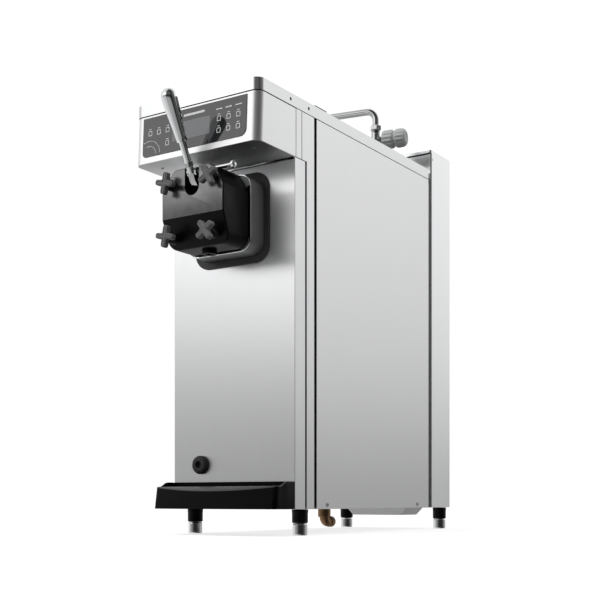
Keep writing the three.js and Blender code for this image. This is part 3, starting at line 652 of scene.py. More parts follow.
def make_posts():
    """The strips between the front and side panels, with the seam above the front panel."""
    (_, half), _, (low, high) = span("front_post_right")
    _, (_, head_rear), (head_low, _) = span("head_box")
    seam_z = head_low + 0.4
    front, rear, seam = 36.0, 59.7, 21.0
    step = seam + 0.5
    strip = [(front, low), (rear, low), (rear, high), (step, high), (step, seam_z), (front, seam_z)]
    cheek = rounded(head_rear + 0.8, seam - 0.5, seam_z, high, 0)
    column = rounded(32.6, 75, low + 4, high, 0)
    for hand, sign in HANDS:
        skin = sorted((sign * half, sign * (half - 3)))
        inside = sorted((sign * 108, sign * (half - 3.5)))
        for part, material, outline, levels, edge, nodes in (
                ("post_strip_", "steel", strip, skin, 0.6, ["front_post_" + hand]),
                ("post_cheek_", "steel", cheek, skin, 0.6, []),
                ("post_column_", "painted", column, inside, 0.8, [])):
            post = plate(part + hand, material, outline, facing_side, *levels)
            fixed(bevelled(post, edge), "brushed_stainless", *nodes)


def make_duct():
    (x0, x1), (_, y1), (z0, z1) = span("rear_duct")
    y0 = DUCT_FRONT
    centre = (y0 + y1) / 2
    outline = rounded(x0, x1, y0, y1, 3, 5)
    hem = z1 - 6.0  # where the folded hem round the top begins
    bm = bmesh.new()
    rings = []  # the sheet under the hem is wider by a step on each side, and its front and back stand in by it
    for level, step in ((z0, 0.5), (hem, 0.5), (hem + 0.6, 0), (z1, 0)):
        rings.append([bm.verts.new((a + math.copysign(step, a), b - math.copysign(step, b - centre), level))
                      for a, b in outline])
    add_bands(bm, rings)
    duct = folded(to_object(bm, "duct_skin", "duct_steel"))
    socket = plate("socket_cut", "steel", rounded(58, 106, 88, 122, 2), facing_front, y1 - 8, y1 + 4)
    airway = plate("airway_cut", "steel", rounded(-105, 105, 60, 680, 4), facing_front, y0 - 6, y0 + 8)
    bevelled(carved(duct, [socket, airway]), 0.5, 2)
    front_hem = plate("duct_front_hem", "duct_steel", rounded(x0 + 2, x1 - 2, hem, z1 - 0.2, 1), facing_front,
                      y0 - 2.4, y0)
    fixed(bevelled(front_hem, 0.9), "brushed_stainless")
    # Thin dark strips under the hem, on the front and both sides: painted shadow.
    bm = bmesh.new()
    add_plate(bm, rounded(x0 + 2, x1 - 2, hem - 2.2, hem, 0), facing_front, y0 - 0.4, y0)
    for side in (-1, 1):
        hem_shadow_band = sorted((side * (x1 - 0.25), side * (x1 - 0.6)))
        add_plate(bm, rounded(y0 + 14, y1 - 4, hem - 1.3, hem, 0), facing_side, *hem_shadow_band)
    fixed(to_object(bm, "duct_hem_shadow", "painted"), "brushed_stainless")
    for hand, sign in reversed(HANDS):
        outline = rounded(*sorted((sign * 108.5, sign * 126)), 492.5, y0 - 0.3, 0)
        flange = plate("duct_flange_" + hand, "steel", outline, plan, z0 + 0.5, 710)
        fixed(bevelled(flange, 0.6), "brushed_stainless")
    fixed(duct, "brushed_stainless", "rear_duct")


# ---------- screws ----------
SCREW_ROOT = 0.6  # how deep a screw head reaches into the sheet


def make_screw(name, place, axis, radius, height, material="screw"):
    """A pan head with a cross recess, whose top is height out from place along the axis."""
    sign = -1 if axis.startswith("-") else 1
    axis = axis.strip("-")
    u, v, w = AXES[axis]
    profile = [(0, -SCREW_ROOT), (radius, -SCREW_ROOT)]
    profile += [(radius * (0.55 + 0.45 * math.cos(t)), height * math.sin(t)) for t in angles(0, 90, 5)]
    profile.append((0, height))
    head = lathe(name, material, [(r, sign * out) for r, out in profile], axis, place, 24, 40)
    long, short = radius * 0.6, radius * 0.17
    cross = []
    for quarter in range(4):
        c, s = round(math.cos(quarter * math.pi / 2)), round(math.sin(quarter * math.pi / 2))
        cross += [(a * c - b * s, a * s + b * c) for a, b in ((long, -short), (long, short), (short, short))]

    def on_head(a, b, level):
        return Vector(place) + u * a + v * b + w * sign * level

    carved(head, [plate(name + "_cross", material, cross, on_head, height * 0.3, height * 2)])
    fixed(head, "chrome")


def make_screws():
    side, lid_side, duct_side = (span(node)[0][1] for node in ("side_panel_right", "lid", "rear_duct"))
    lid_side -= FLUSH
    for hand, sign in HANDS:
        axis = "x" if sign > 0 else "-x"
        for end, y in (("front", 102.4), ("rear", 442.9)):
            make_screw(f"panel_screw_{end}_{hand}", (sign * side, y, 52), axis, 4.2, 1.0)
        for end, y in (("front", -13.3), ("rear", 41.5)):
            make_screw(f"lid_screw_{end}_{hand}", (sign * lid_side, y, 724.3), axis, 2.9, FLUSH, "dark_screw")
        make_screw(f"duct_screw_{hand}", (sign * (duct_side - 0.5), 509.8, 759), axis, 3.6, 1.2)
        make_screw(f"head_screw_{hand}", (sign * 97, -72, span("head_box")[2][0]), "-z", 3.4, 1.0)


# ---------- control panel ----------
FILM_FACE = 1.1  # how far the film's face stands out from the head
KEY_COLUMNS = (51.5, 71, 90.6)
LOOSE_KEYS = [(-95, 682.5), (-76.3, 682), (-57.2, 682.5), (-57.2, 660)]


def make_controls():
    (x0, x1), _, (z0, z1) = span("control_overlay")
    outline = rounded(x0, x1, z0, z1, (7, 12, 0.6, 0.6))
    film = plate("control_film", "film", outline, face_point, 0.3, FILM_FACE)
    fixed(bevelled(film, 0.25, 2), "membrane", "control_overlay")

    def on_film(a, b, level):
        return face_point(a, b, FILM_FACE + level)

    window = plate("display_window", "window", rounded(-46, 33, 659.5, 689.5, 1.2, 4), on_film, 0.0, 0.12)
    fixed(window, "membrane")
    marks = bmesh.new()

    def mark(outline, height=0.1, holes=()):
        add_plate(marks, outline, on_film, 0, height, holes)

    for x, z in [(x, z) for z in (680.5, 661) for x in KEY_COLUMNS] + LOOSE_KEYS:
        mark(rounded(x - 4, x + 4, z - 4.2, z + 4.2, 1.3, 4), 0.12,
             [rounded(x - 2.9, x + 2.9, z - 3.1, z + 3.1, 0.8, 4)])
        mark(rounded(x - 2.6, x + 2.6, z + 6.4, z + 7.6, 0.3, 2))
    for x in KEY_COLUMNS:
        mark(rounded(x - 6.5, x + 6.5, 695.4, 697.2, 0.4, 2))
    mark(rounded(-23, 21.5, 697.2, 701, 0.8, 3))
    for radius in (15, 24):
        ring = arc(-97, 645.6, radius + 0.35, 2, 120, 20) + arc(-97, 645.6, radius - 0.35, 120, 2, 20)
        mark([(a, b) for a, b in ring if a > x0 + 1.5])
    fixed(to_object(marks, "panel_print", "print"), "membrane")


# ---------- feet ----------
RIBS = 44  # of the knurl round a levelling cup


def make_foot(name):
    cup, sleeve = "foot_cup_" + name, "foot_sleeve_" + name
    place = (middle(cup).x, middle(cup).y, 0)
    top = span(cup)[2][1]
    radius = half_width(cup)
    wall = radius - 0.35

    def knurl(angle, distance):
        return 0.1 * math.cos(RIBS * angle) if 2 < distance < top - 2 else 0.0

    profile = [(0, 0), (radius - 2.0, 0), (radius - 0.9, 0.6), (wall, 1.8), (wall, 2.6), (wall, top - 2.6),
               (wall, top - 1.4), (radius - 1.2, top - 0.3), (radius - 2.2, top - 0.2),
               (radius - 2.2, top + 0.35), (0, top + 0.35)]
    made = lathe("levelling_cup_" + name, "chrome", profile, "z", place, RIBS * 4, 50, ripple=knurl)
    stands_for(made, "foot_" + name, "chrome", cup)
    radius = half_width(sleeve)
    low, high = span(sleeve)[2]
    profile = [(0, low), (radius - 1.4, low), (radius - 0.3, low + 1.2), (radius - 0.3, high - 6),
               (radius, high - 5), (radius, high), (0, high)]
    made = lathe("leg_sleeve_" + name, "black", profile, "z", place, 56)
    fixed(bevelled(made, 0.5), "black_plastic", sleeve)


def make_feet():
    for name in ("front_right", "front_left", "rear_right", "rear_left"):
        make_foot(name)


# ---------- drip tray and drain ----------
TRAY_FACE = -52.0  # how far forward the tray's front corners stand
TRAY_ROUND = 9.0
TRAY_LIP = 83.5  # height of the tray's rim behind its front
TRAY_DRAFT = 0.12  # how much further forward the front leans at the floor


def curve(start, pull, end, steps):
    """Points of a smooth curve from start, which isn't repeated, to end."""
    turns = [i / steps for i in range(1, steps + 1)]
    return [start * (1 - t) ** 2 + pull * 2 * t * (1 - t) + end * t * t for t in turns]


def make_drip_tray():
    (_, x1), (_, back), (floor, top) = span("drip_tray")
    bm = bmesh.new()

    def lip_height(y):
        if y > -22:
            return top
        if y > -42:
            t = (y + 42) / 20
            return TRAY_LIP + (top - TRAY_LIP) * t * t * (3 - 2 * t)
        return TRAY_LIP - max(0, -50 - y) * 0.52

    def edge(inset, bulge):
        """The outline from the right rear end round the front to the left rear end."""
        half, face = x1 - inset, TRAY_FACE + inset
        low, high = Vector((half, face + TRAY_ROUND)), Vector((half - TRAY_ROUND, face - 1))
        right = [Vector((half, y)) for y in (back - inset, -14, -20, -26, -32, -38)] + [low]
        right += curve(low, Vector((half, face)), high, 8)
        sweep = curve(high, Vector((0, face - 2 * bulge)), Vector((-high.x, high.y)), 32)
        return right + sweep[:-1] + [Vector((-p.x, p.y)) for p in reversed(right)]

    def ring(points, height, draft=TRAY_DRAFT):
        made = []
        for p in points:
            z = height(p.y)
            lean = draft * max(TRAY_LIP - z, 0) / (TRAY_LIP - floor)
            made.append(bm.verts.new((p.x, p.y * (1 + lean), z)))
        return made

    outer = edge(0, 12.0)
    rings = [ring(outer, lambda y: floor), ring(outer, lambda y: lip_height(y) - 1.1),
             ring(edge(0.9, 11.5), lip_height), ring(edge(2.6, 0.5), lip_height),
             ring(edge(3.4, 0.5), lambda y: floor + 3, 0)]
    add_bands(bm, rings)
    # The rim's top and its rounded outer edge get the lighter, glossier copy: painted highlight.
    for face in bm.faces[:][len(outer):3 * len(outer)]:
        face.material_index = 1
    bm.faces.new(rings[0])
    bm.faces.new(rings[-1])
    tray = to_object(bm, "drip_tray_moulding", "tray", 50)
    tray.data.materials.append(MATERIALS["tray_rim_painted_highlight"])
    stands_for(tray, "drip_tray", "black_plastic", "drip_tray")


def make_drain():
    centre = middle("drain_grommet")
    radius = half_width("drain_grommet")
    front, back = span("drain_grommet")[1]
    profile = [(0, -3), (5.4, -3.2), (6, -3.8), (6, front + 0.6), (6.6, front + 0.05), (7.4, front),
               (10.5, front + 0.1), (13.4, front + 0.9), (15.3, front + 2.4), (radius, front + 4.6),
               (radius, back - 1.6), (radius - 0.8, back - 0.9), (radius - 0.4, back), (0, back)]
    bung = lathe("drain_bung", "rubber", profile, "y", (centre.x, 0, centre.z), 64, 40)
    fixed(bung, "black_rubber", "drain_grommet")
    make_elbow()


def make_elbow():
    _, (y0, y1), (_, z1) = span("drain_elbow")
    x = middle("drain_elbow").x
    down, low = y0 + 12, 20.0  # Y of the upright pipe and Z of the level one
    path = [(x, down, z) for z in (z1 - 0.2, 36, 34.5, 33.5)]
    path += bend((x, down, low), (0, 0, -1), (0, 1, 0), 11, 10)
    path += [(x, y1 - in_, low) for in_ in (12.5, 11.6, 10.6, 1.8, 0.4)]
    radii = [9.6, 9.6, 9.6, 9.2] + [9.0] * 11 + [8.2, 9.2, 10.1, 10.1, 9.2]
    bm = bmesh.new()
    add_swept(bm, path, radii, 36)
    elbow = to_object(bm, "drain_fitting", "brass", 50)
    profile = [(0, 29), (11.0, 29), (11.7, 29.8), (11.7, z1 - 1), (11.0, z1 - 0.3), (0, z1 - 0.3)]
    carved(elbow, [lathe("collar", "brass", profile, "z", (x, down, 0), 40)], "UNION", 40)
    carved(elbow, [lathe("bore", "brass", rod(6, y1 - 14, y1 + 2), "y", (x, 0, low), 32)], angle=40)
    fixed(elbow, "brass", "drain_elbow")


# ---------- cylinder collar, trim and door ----------
CYLINDER_Z = 541.0  # height of the freezing cylinder's axis
CYLINDER_RADIUS = 52.0
CYLINDER_BORE = 47.0


def make_collar():
    (x0, x1), (y0, y1), (z0, z1) = span("trim_ring")
    front, rear = span("freezing_cylinder")[1]

    def opening(inset, radius):
        """The opening of the trim, made smaller by inset."""
        half = x1 - 10.8 - inset
        return rounded(-half, half, z0 + 12.5 + inset, z1 - 12.5 - inset, radius, 16)

    trim = plate("trim_moulding", "trim", rounded(x0, x1, z0, z1, 30, 16), facing_front, y0, y1,
                 [opening(0, 23)])
    fixed(bevelled(trim, 1.1), "black_rubber", "trim_ring")
    flange = plate("cylinder_flange", "collar", opening(0.3, 22.8), facing_front, front, 2,
                   [circle(0, CYLINDER_Z, CYLINDER_BORE, 64)])
    fixed(bevelled(flange, 2.0, 4), "polished_stainless", "freezing_cylinder")
    rim = plate("cylinder_rim", "chrome", opening(-0.2, 23.2), facing_front, front - 0.4, front + 2,
                [opening(2.4, 20.6)])
    fixed(bevelled(rim, 0.9, 3), "polished_stainless")
    wall, shaft = 4.0, 9.0  # thickness of the back wall and radius of the hole in it
    tube = [(CYLINDER_BORE, 0), (CYLINDER_RADIUS, 0), (CYLINDER_RADIUS, rear), (shaft, rear),
            (shaft, rear - wall), (CYLINDER_BORE, rear - wall)]
    barrel = lathe("cylinder_barrel", "polished", tube, "y", (0, 0, CYLINDER_Z), 64, closed=True)
    fixed(bevelled(barrel, 0.8), "polished_stainless")


def door_outline(half, bottom, top):
    """A door with a round head that is cut level at the top, and round lower corners."""
    radius, centre, low = 67.6, 551.7, 20.0
    flat = math.degrees(math.asin((top - centre) / radius))
    side = math.degrees(math.acos(half / radius))
    points = arc(half - low, bottom + low, low, -90, 0, 12)
    points += arc(0, centre, radius, side, flat, 12)
    points += arc(0, centre, radius, 180 - flat, 180 - side, 12)
    return points + arc(-half + low, bottom + low, low, 180, 270, 12)


DOOR_BACK = -41.0
DOOR_FOLD = 529.5  # height where the door's face turns back towards its foot
FOOT_RECESS = 17.0  # how far the foot stands behind the face
PIN_RADIUS = 3.9


def make_door_blank():
    """The door with its slanted lower face and a rounded front edge."""
    (_, x1), (y0, _), (z0, z1) = span("dispensing_door")
    door = plate("door_moulding", "door", door_outline(x1, z0, z1), facing_front, y0, DOOR_BACK)
    slant = [(y0, DOOR_FOLD), (y0 - 20, DOOR_FOLD), (y0 - 20, z0 - 20), (y0 + FOOT_RECESS + 5, z0 - 5.6)]
    carved(door, [plate("wedge", "door", slant, facing_side, -90, 90)])
    bm = bmesh.new()
    bm.from_mesh(door.data)
    limit = machine_to_frame((0, y0 + FOOT_RECESS + 4, 0)).y
    rim = [e for e in bm.edges if len(e.link_faces) == 2 and e.calc_face_angle() > math.radians(30)
           and max(v.co.y for v in e.verts) < limit]
    bmesh.ops.bevel(bm, geom=rim, offset=2.6 * MM, segments=4, profile=0.5, affect="EDGES",
                    clamp_overlap=True)
    mark_smooth(bm, 32)
    bm.to_mesh(door.data)
    bm.free()
    return door


def make_door():
    _, (y0, _), (_, z1) = span("dispensing_door")
    door = make_door_blank()
    slot = [(15, z1 + 20), *reversed(arc(0, 577, 15, 180, 360, 20)), (-15, z1 + 20)]
    pin = middle("lever_pin")
    cutters = [plate("slot", "door", slot, facing_front, y0 - 5, -62),
               lathe("bore", "door", rod(10.4, 470, 640), "z", (0, -64, 0)),
               lathe("pin", "door", rod(PIN_RADIUS, -62, 80), "x", (0, pin.y, pin.z), 28)]
    for place in ("upper_left", "upper_right", "lower_left", "lower_right"):
        stud = middle("door_stud_" + place)
        cutters.append(lathe("hole", "door", rod(4.5, -125, -30), "y", (stud.x, 0, stud.z), 24))
    carved(door, cutters)
    # Faces turned sideways or downwards get the darker, duller copy of the door's plastic: painted shade.
    door.data.materials.append(MATERIALS["door_painted_shade"])
    for face in door.data.polygons:
        face.material_index = 1 if abs(face.normal.x) > 0.6 or face.normal.z < -0.15 else 0
    fixed(bevelled(door, 0.6, 2), "black_plastic", "dispensing_door")
    back = DOOR_BACK - 0.5
    spigot = [(0, back), (46.5, back), (46.5, -34), (44, -33.4), (44, -29.6), (46.5, -29), (46.5, -27),
              (45.5, -26), (0, -26)]
    fixed(lathe("door_spigot", "door", spigot, "y", (0, 0, CYLINDER_Z), 64), "black_plastic")


def make_nozzle():
    centre = middle("nozzle")
    z0, z1 = span("nozzle")[2]
    outer = half_width("nozzle")
    star = []
    for angle in angles(0, 360, 48)[:-1]:
        r = 6.3 + 1.7 * math.cos(6 * angle)
        star.append((centre.x + r * math.cos(angle), centre.y + r * math.sin(angle)))
    floor = z0 + 4
    wall = [(9, floor), (outer, floor), (outer, z1), (9, z1)]
    bm = bmesh.new()
    add_plate(bm, circle(centre.x, centre.y, outer - 0.8, 48), plan, z0, floor, [star])
    add_turned(bm, wall, "z", (centre.x, centre.y, 0), closed=True)
    fixed(bevelled(to_object(bm, "star_nozzle", "black"), 0.4), "black_plastic", "nozzle")


# ---------- star knobs ----------
def star_outline(reach, half, tip, throat=2.0, steps=5):
    """A four-armed star: rounded arm ends and small fillets between the arms."""
    local = arc(half + throat, -half - throat, throat, 180, 90, 3)
    local += arc(reach - tip, -half + tip, tip, -90, 0, steps)
    local += arc(reach - tip, half - tip, tip, 0, 90, steps)
    turns = [(math.cos(t), math.sin(t)) for t in angles(0, 270, 3)]
    return [(a * c - b * s, a * s + b * c) for c, s in turns for a, b in local]


def make_knob(place, turn_degrees):
    node = "star_knob_" + place
    centre = middle("door_stud_" + place)
    face, back = span(node)[1]
    c, s = math.cos(math.radians(turn_degrees)), math.sin(math.radians(turn_degrees))

    def turned(a, b, level):
        return Vector((centre.x + a * c - b * s, level, centre.z + a * s + b * c))

    star = plate("knob_" + place, "knob", star_outline(18.2, 4.7, 4.0), turned, face + 0.7, face + 10.6)
    stands_for(bevelled(star, 1.1, 3), node, "grey_plastic", node)
    # The hub belongs to the grey knob; drawing it in black plastic is painted shade.
    profile = [(4.4, face + 11), (8.8, face + 11), (9.2, face + 12), (9.4, back - 1.2), (8.6, back),
               (4.4, back)]
    hub = lathe("knob_hub_" + place, "black", profile, "y", (centre.x, 0, centre.z), 40, closed=True)
    stands_for(hub, node, "grey_plastic")
    rib = plate("knob_rib_" + place, "knob", star_outline(15.6, 2.6, 2.1, 1.2), turned, face + 0.1,
                face + 1.0, [star_outline(14.7, 1.7, 1.3, 0.8)])
    stands_for(bevelled(rib, 0.25, 2), node, "grey_plastic")


def make_knobs():
    for place, turn in (("upper_left", -12), ("upper_right", 30), ("lower_left", -10), ("lower_right", 36)):
        make_knob(place, turn)


# ---------- draw lever ----------
BALL = (-168.6, 706.8)  # Y and Z of the middle of the grip's round end
BALL_RADIUS = 13.3
STEM = (-118.3, 609.9)  # Y and Z where the stem leaves the fork
STEM_RADIUS = 5.8
TIP = (-68.0, 587.5)  # Y and Z of the end that lifts the piston


def make_lever():
    ball, low = Vector((0, *BALL)), Vector((0, *STEM))
    along = (ball - low).normalized()
    length = (ball - low).length + 16
    turn = Matrix.Translation(ball - along * length) @ along.to_track_quat("Z", "Y").to_matrix().to_4x4()
    collar = length - 71.5  # where the grip begins
    profile = [(0, 2), (STEM_RADIUS, 2), (STEM_RADIUS, collar), (8.3, collar + 0.2), (8.9, collar + 1.2)]
    profile += [(9.1, length - 64), (9.6, length - 55), (10.4, length - 44), (11.3, length - 33),
                (12.3, length - 21), (13.0, length - 11), (BALL_RADIUS, length - 3)]
    profile += arc(0, length, BALL_RADIUS, 0, 90, 10)[:-1] + [(0, length + BALL_RADIUS)]
    handle = lathe("draw_handle", "chrome", profile, "z", (0, 0, 0), 64, 50, turn)
    stands_for(handle, "draw_lever", "chrome", "draw_lever")
    profile = [(0, 13), (6.8, 13), (7.8, 14), (7.8, 19.6), (6.8, 20.6), (0, 20.6)]
    nut = bevelled(lathe("handle_nut", "shade_darkened_chrome", profile, "z", (0, 0, 0), 6, 20, turn), 0.4)
    pin = middle("lever_pin")

    def bored(thing, angle=32):
        hole = lathe("pin_hole", "chrome", rod(PIN_RADIUS, -20, 20), "x", (0, pin.y, pin.z), 32)
        return carved(thing, [hole], angle=angle)

    lobe = [(5.6, 1.8), (7.8, 2.9), (8.1, 6), (7.8, 9), (6.8, 9.8), (0, 9.8)]
    lobes = [(r, -out) for r, out in reversed(lobe)] + lobe
    knuckle = bored(lathe("handle_knuckle", "chrome", lobes, "x", (0, pin.y - 2.5, pin.z - 1.2), 48, 40), 35)
    shape = [(-114.5, 596.5), (-109.5, 586), (-101.5, 577.6), (-94.5, 581.2), (-95, 595), (-99.5, 603.5)]
    yoke = bevelled(bored(plate("handle_yoke", "shade_darkened_chrome", shape, facing_side, -5.4, 5.4)), 1.3, 4)
    shape = [(-98, 604), (-104, 597), (-70, TIP[1] - 2.6), (-67.5, TIP[1] + 2.6)]
    arm = bevelled(bored(plate("handle_arm", "shade_darkened_chrome", shape, facing_side, -3.4, 3.4)), 0.8)
    profile = [(0, -4.1), *arc(0, 0, 4.1, -80, 80, 10), (0, 4.1)]
    tip = lathe("handle_tip", "shade_darkened_chrome", profile, "x", (0, *TIP), 28, 40)
    for thing in (nut, knuckle, yoke, arm, tip):
        stands_for(thing, "draw_lever", "chrome")


def make_pin():
    x0, x1 = span("lever_pin")[0]
    centre = middle("lever_pin")
    head, dome = 6.5, 3.2
    profile = [(0, x0), (2.9, x0), (3.5, x0 + 0.7), (3.5, x1 - 7.6), (head - 0.6, x1 - 7.4), (head, x1 - 6.8)]
    profile += [(head * math.cos(t), x1 - dome + dome * math.sin(t)) for t in angles(0, 90, 7)[:-1]]
    profile.append((0, x1))
    pin = lathe("pivot_pin", "chrome", profile, "x", (0, centre.y, centre.z), 44, 40)
    fixed(pin, "chrome", "lever_pin")


# ---------- tap on the lid ----------
TAP = (51.0, 413.0)
TAP_PLACE = Matrix.Translation((*TAP, 0)) @ Matrix.Rotation(math.radians(10), 4, "Z")


def tap_part(name, profile, axis="z", origin=(0, 0, 0), steps=44, angle=40, material="shade_darkened_chrome", **more):
    """A turned part drawn round the tap's own upright axis."""
    return lathe(name, material, profile, axis, origin, steps, angle, TAP_PLACE, **more)


def make_tap():
    lid_top = span("lid")[2][1]
    branch = middle("tap_knob").z
    nut_z = span("tap_body")[2][1] + 0.4
    foot = [(0, -12), (9, -12), (9, 0.3), (14, 0.3), (15, 1.4), (15, 3.4), (13.6, 5), (9.4, 6), (8.8, 9)]
    neck = [(8.8, -10), (9.0, -8), (9.0, 8), (8.6, 11)]
    profile = [(r, lid_top + up) for r, up in foot] + [(r, branch + up) for r, up in neck]
    profile += [(8.6, nut_z - 1.2), (9.0, nut_z - 0.4), (0, nut_z - 0.4)]
    body = tap_part("tap_column", profile)
    stub = [(0, 0), (8, 0), (8, 15), (7.4, 16), (0, 16)]
    carved(body, [tap_part("stub", stub, "x", (0, 0, branch), 36)], "UNION", 40)
    holes = [tap_part("hole", rod(3.4, 8, 18), "x", (0, 0, branch), 24),
             tap_part("hole", rod(5, nut_z - 12, nut_z + 2), steps=24)]
    bevelled(carved(body, holes, angle=40), 0.4, 2, 40)
    fixed(body, "chrome", "tap_body")
    make_tap_knob(branch)
    make_spout(nut_z)


def make_tap_knob(branch):
    flutes = 14

    def ribs(angle, distance):
        if 18 < distance < 38 or 46 < distance < 59:
            return 0.75 * math.cos(flutes * angle) - 0.55
        return 0.0

    profile = [(0, 9.2), (3, 9.2), (3, 16.6), (14.6, 16.6), (16.8, 17.4), (18.1, 19.4), (18.2, 24),
               (18.2, 30), (18.2, 36.5), (16.2, 38.6), (13.6, 39.6), (13.4, 41), (13.6, 42.4), (16.8, 43.4),
               (18.2, 45.6), (18.3, 50), (18.1, 54), (17.8, 58.4), (16.4, 61.6), (13.6, 64), (9.6, 65.2),
               (8.8, 64.6), (0, 64.4)]
    knob = tap_part("tap_handwheel", profile, "x", (0, 0, branch), flutes * 8, material="tap_grey",
                    ripple=ribs)
    stands_for(knob, "tap_knob", "tap_grey_plastic", "tap_knob")


def make_spout(nut_z):
    top = span("tap_spout")[2][1] - 6.5
    radius, reach = 20.0, 128.0
    down, across = (0, 0, -1), (-1, 0, 0)
    path = [(0, 0, nut_z + 4), (0, 0, nut_z + 14)]
    path += bend((0, 0, top), (0, 0, 1), across, radius)
    path += bend((-reach, 0, top), across, down, radius)
    path.append((-reach, 0, top - radius - 14))
    bm = bmesh.new()
    add_swept(bm, path, 6.5, 36)
    spout = to_object(bm, "swivel_spout", "shade_darkened_chrome", 40, TAP_PLACE)
    shape = [(0, -10), (4.3, -10), (4.3, 0.2), (10.4, 0.2), (11.4, 1.4), (11.4, 8.6), (10.4, 9.8),
             (7.6, 10.5), (0, 10.5)]
    nut = tap_part("nut", [(r, nut_z + up) for r, up in shape], steps=6, angle=20)
    carved(spout, [nut], "UNION", 35)
    bore = rod(4.9, 780, top - radius - 6)
    bevelled(carved(spout, [tap_part("outlet", bore, "z", (-reach, 0, 0), 28)], angle=35), 0.6, 2, 38)
    stands_for(spout, "tap_spout", "chrome", "tap_spout")


# ---------- hopper and its lid ----------
OUTLET = (0, 150)  # X and Y of the hole in the hopper's floor
OUTLET_RADIUS = 8.5


def make_hopper():
    (x0, x1), (y0, y1), (_, top) = span("hopper")
    floor = span("lid")[2][1] - 132.5
    corner = 25.0
    bm = bmesh.new()

    def ring(inset, z):
        points = rounded(x0 + inset, x1 - inset, y0 + inset, y1 - inset, corner + HOPPER_RIM - inset)
        return [bm.verts.new((a, b, z)) for a, b in points]

    over = ((0.2, 2.2), (0, 1.2), (0.6, 0.1), (6.5, 0.1), (8.6, 1.0), (9.4, 3))
    rim = [ring(inset, top - down) for inset, down in over]
    inside = [ring(HOPPER_RIM + inset, floor + up) for inset, up in ((2, 14), (3.4, 7), (8, 2.6), (16, 2))]
    outside = [ring(HOPPER_RIM + inset, floor + up) for inset, up in ((16, 0), (7, 0.4), (2, 6), (0.2, 14))]
    outside.append(ring(HOPPER_RIM + 0.2, top - 2.6))
    add_bands(bm, rim + inside)
    add_bands(bm, outside + rim[:1])
    holes = []
    for edge, level in ((inside[-1], floor + 2), (outside[0], floor)):
        edges = [bm.edges.get((edge[i - 1], edge[i])) for i in range(len(edge))]
        hole, more = add_loop(bm, circle(*OUTLET, OUTLET_RADIUS, 32), plan, level)
        bmesh.ops.triangle_fill(bm, use_beauty=True, edges=edges + more)
        holes.append(hole)
    add_walls(bm, *holes)
    fixed(to_object(bm, "hopper_basin", "polished", 40), "polished_stainless", "hopper")
    low, high = CYLINDER_Z + CYLINDER_RADIUS + 0.4, floor - 0.1
    pipe = [(OUTLET_RADIUS, low), (12, low), (12, high), (OUTLET_RADIUS, high)]
    fixed(lathe("hopper_outlet", "polished", pipe, "z", (*OUTLET, 0), 36, closed=True), "polished_stainless")


def make_hopper_lid():
    (x0, x1), (y0, y1), (z0, z1) = span("hopper_lid")
    top, border = 754.0, 16
    bm = bmesh.new()
    outline = rounded(x0, x1, y0, y1, 33, 14)
    panel = rounded(x0 + border, x1 - border, y0 + border, y1 - border, 20, 14)
    rim, step = add_face(bm, outline, [panel], plan, top)
    bm.faces.new(add_skirt(bm, step, top - 1.5))
    add_skirt(bm, rim, z0)
    lid = bevelled(folded(to_object(bm, "hopper_cover", "polished")), 1.2)
    stands_for(lid, "hopper_lid", "polished_stainless", "hopper_lid")
    for hand, sign in reversed(HANDS):
        outline = rounded(sign * 88 - 5, sign * 88 + 5, 120, 162, 4.5, 6)
        grip = plate("cover_grip_" + hand, "black", outline, plan, top - 0.1, z1)
        stands_for(bevelled(grip, 1.2), "hopper_lid", "black_plastic")


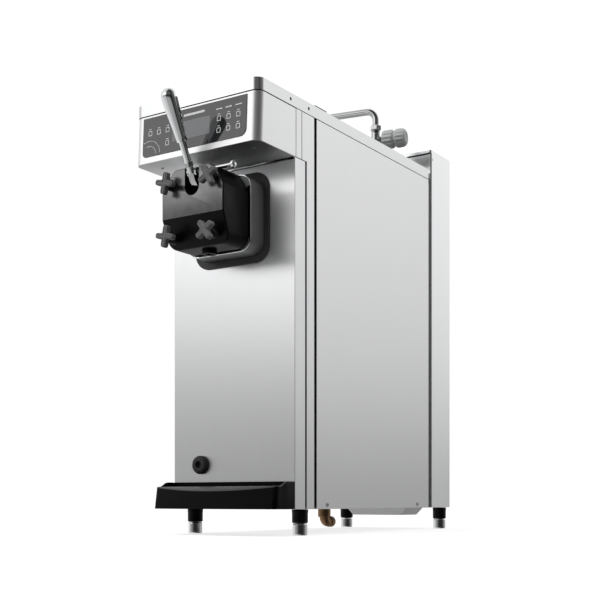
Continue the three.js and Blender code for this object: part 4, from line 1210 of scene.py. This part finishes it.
# ---------- CAD nodes that keep their shape ----------
def smoothing_group():
    """A modifier that shades a faceted CAD mesh smooth except at its real edges."""
    group = bpy.data.node_groups.new("smooth_by_angle", "GeometryNodeTree")
    for in_out in ("INPUT", "OUTPUT"):
        group.interface.new_socket("Geometry", in_out=in_out, socket_type="NodeSocketGeometry")
    n = Nodes(group)
    forget = n.add("GeometryNodeRemoveAttribute")
    forget.inputs["Name"].default_value = "custom_normal"
    faces = n.add("GeometryNodeSetShadeSmooth", domain="FACE")
    edges = n.add("GeometryNodeSetShadeSmooth", domain="EDGE")
    edges.inputs["Shade Smooth"].default_value = False
    sharper = n.add("FunctionNodeCompare", data_type="FLOAT", operation="GREATER_THAN")
    sharper.inputs[1].default_value = math.radians(32)
    n.link(n.add("NodeGroupInput").outputs[0], forget.inputs["Geometry"])
    n.link(forget.outputs["Geometry"], faces.inputs["Geometry"])
    n.link(faces.outputs["Geometry"], edges.inputs["Geometry"])
    n.link(n.add("GeometryNodeInputMeshEdgeAngle").outputs["Unsigned Angle"], sharper.inputs[0])
    n.link(sharper.outputs["Result"], edges.inputs["Selection"])
    n.link(edges.outputs["Geometry"], n.add("NodeGroupOutput").inputs[0])
    return group


# nodes with their bevels in millimetres, by material
KEPT = {
    "steel": {"side_panel_right": 0.6, "side_panel_left": 0.6, "duct_grille": 0.4, "motor_shelf": 0.6,
              "base_pan": 0.5},
    "polished": {"door_stud_upper_right": 0.4, "door_stud_upper_left": 0.4, "door_stud_lower_right": 0.4,
                 "door_stud_lower_left": 0.4},
    "black": {"power_inlet": 0.6, "fan": 0.5},
    "white": {"draw_piston": 0.3, "beater": 0.6, "feed_tube": 0.4},
    "rubber": {"door_seal": 0, "piston_ring_lower": 0, "piston_ring_upper": 0, "shaft_seal": 0.3,
               "drive_belt": 0.4},
    "board": {"control_board": 0.2},
    "painted": {"motor": 1.5, "compressor": 1.5, "fan_motor": 1.0},
    "aluminium": {"gearbox": 2.0, "driven_pulley": 0.4, "motor_pulley": 0.4, "condenser": 0.3},
}


def refine_kept_nodes():
    group = smoothing_group()
    for material, nodes in KEPT.items():
        for node, width in nodes.items():
            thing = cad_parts[node]
            thing.data.materials.clear()
            thing.data.materials.append(MATERIALS[material])
            modified(thing, "WELD", merge_threshold=1e-5)
            modified(thing, "NODES", node_group=group)
            if width:
                bevelled(thing, width, 2)


make_camera()
make_world()
make_light("key", (-0.7, -1.6, 3.0), (0, -0.1, 0.5), (1.4, 1.0), 45)
make_light("fill", (2.6, 1.2, 2.4), (0, 0, 0.4), (2.0, 1.6), 10)
for make in (make_floor, make_lid, make_head, make_front_panel, make_posts, make_duct, make_screws,
             make_controls, make_feet, make_drip_tray, make_drain, make_collar, make_door, make_nozzle,
             make_knobs, make_lever, make_pin, make_tap, make_hopper, make_hopper_lid, refine_kept_nodes):
    make()
bpy.context.scene.view_settings.view_transform = "Standard"
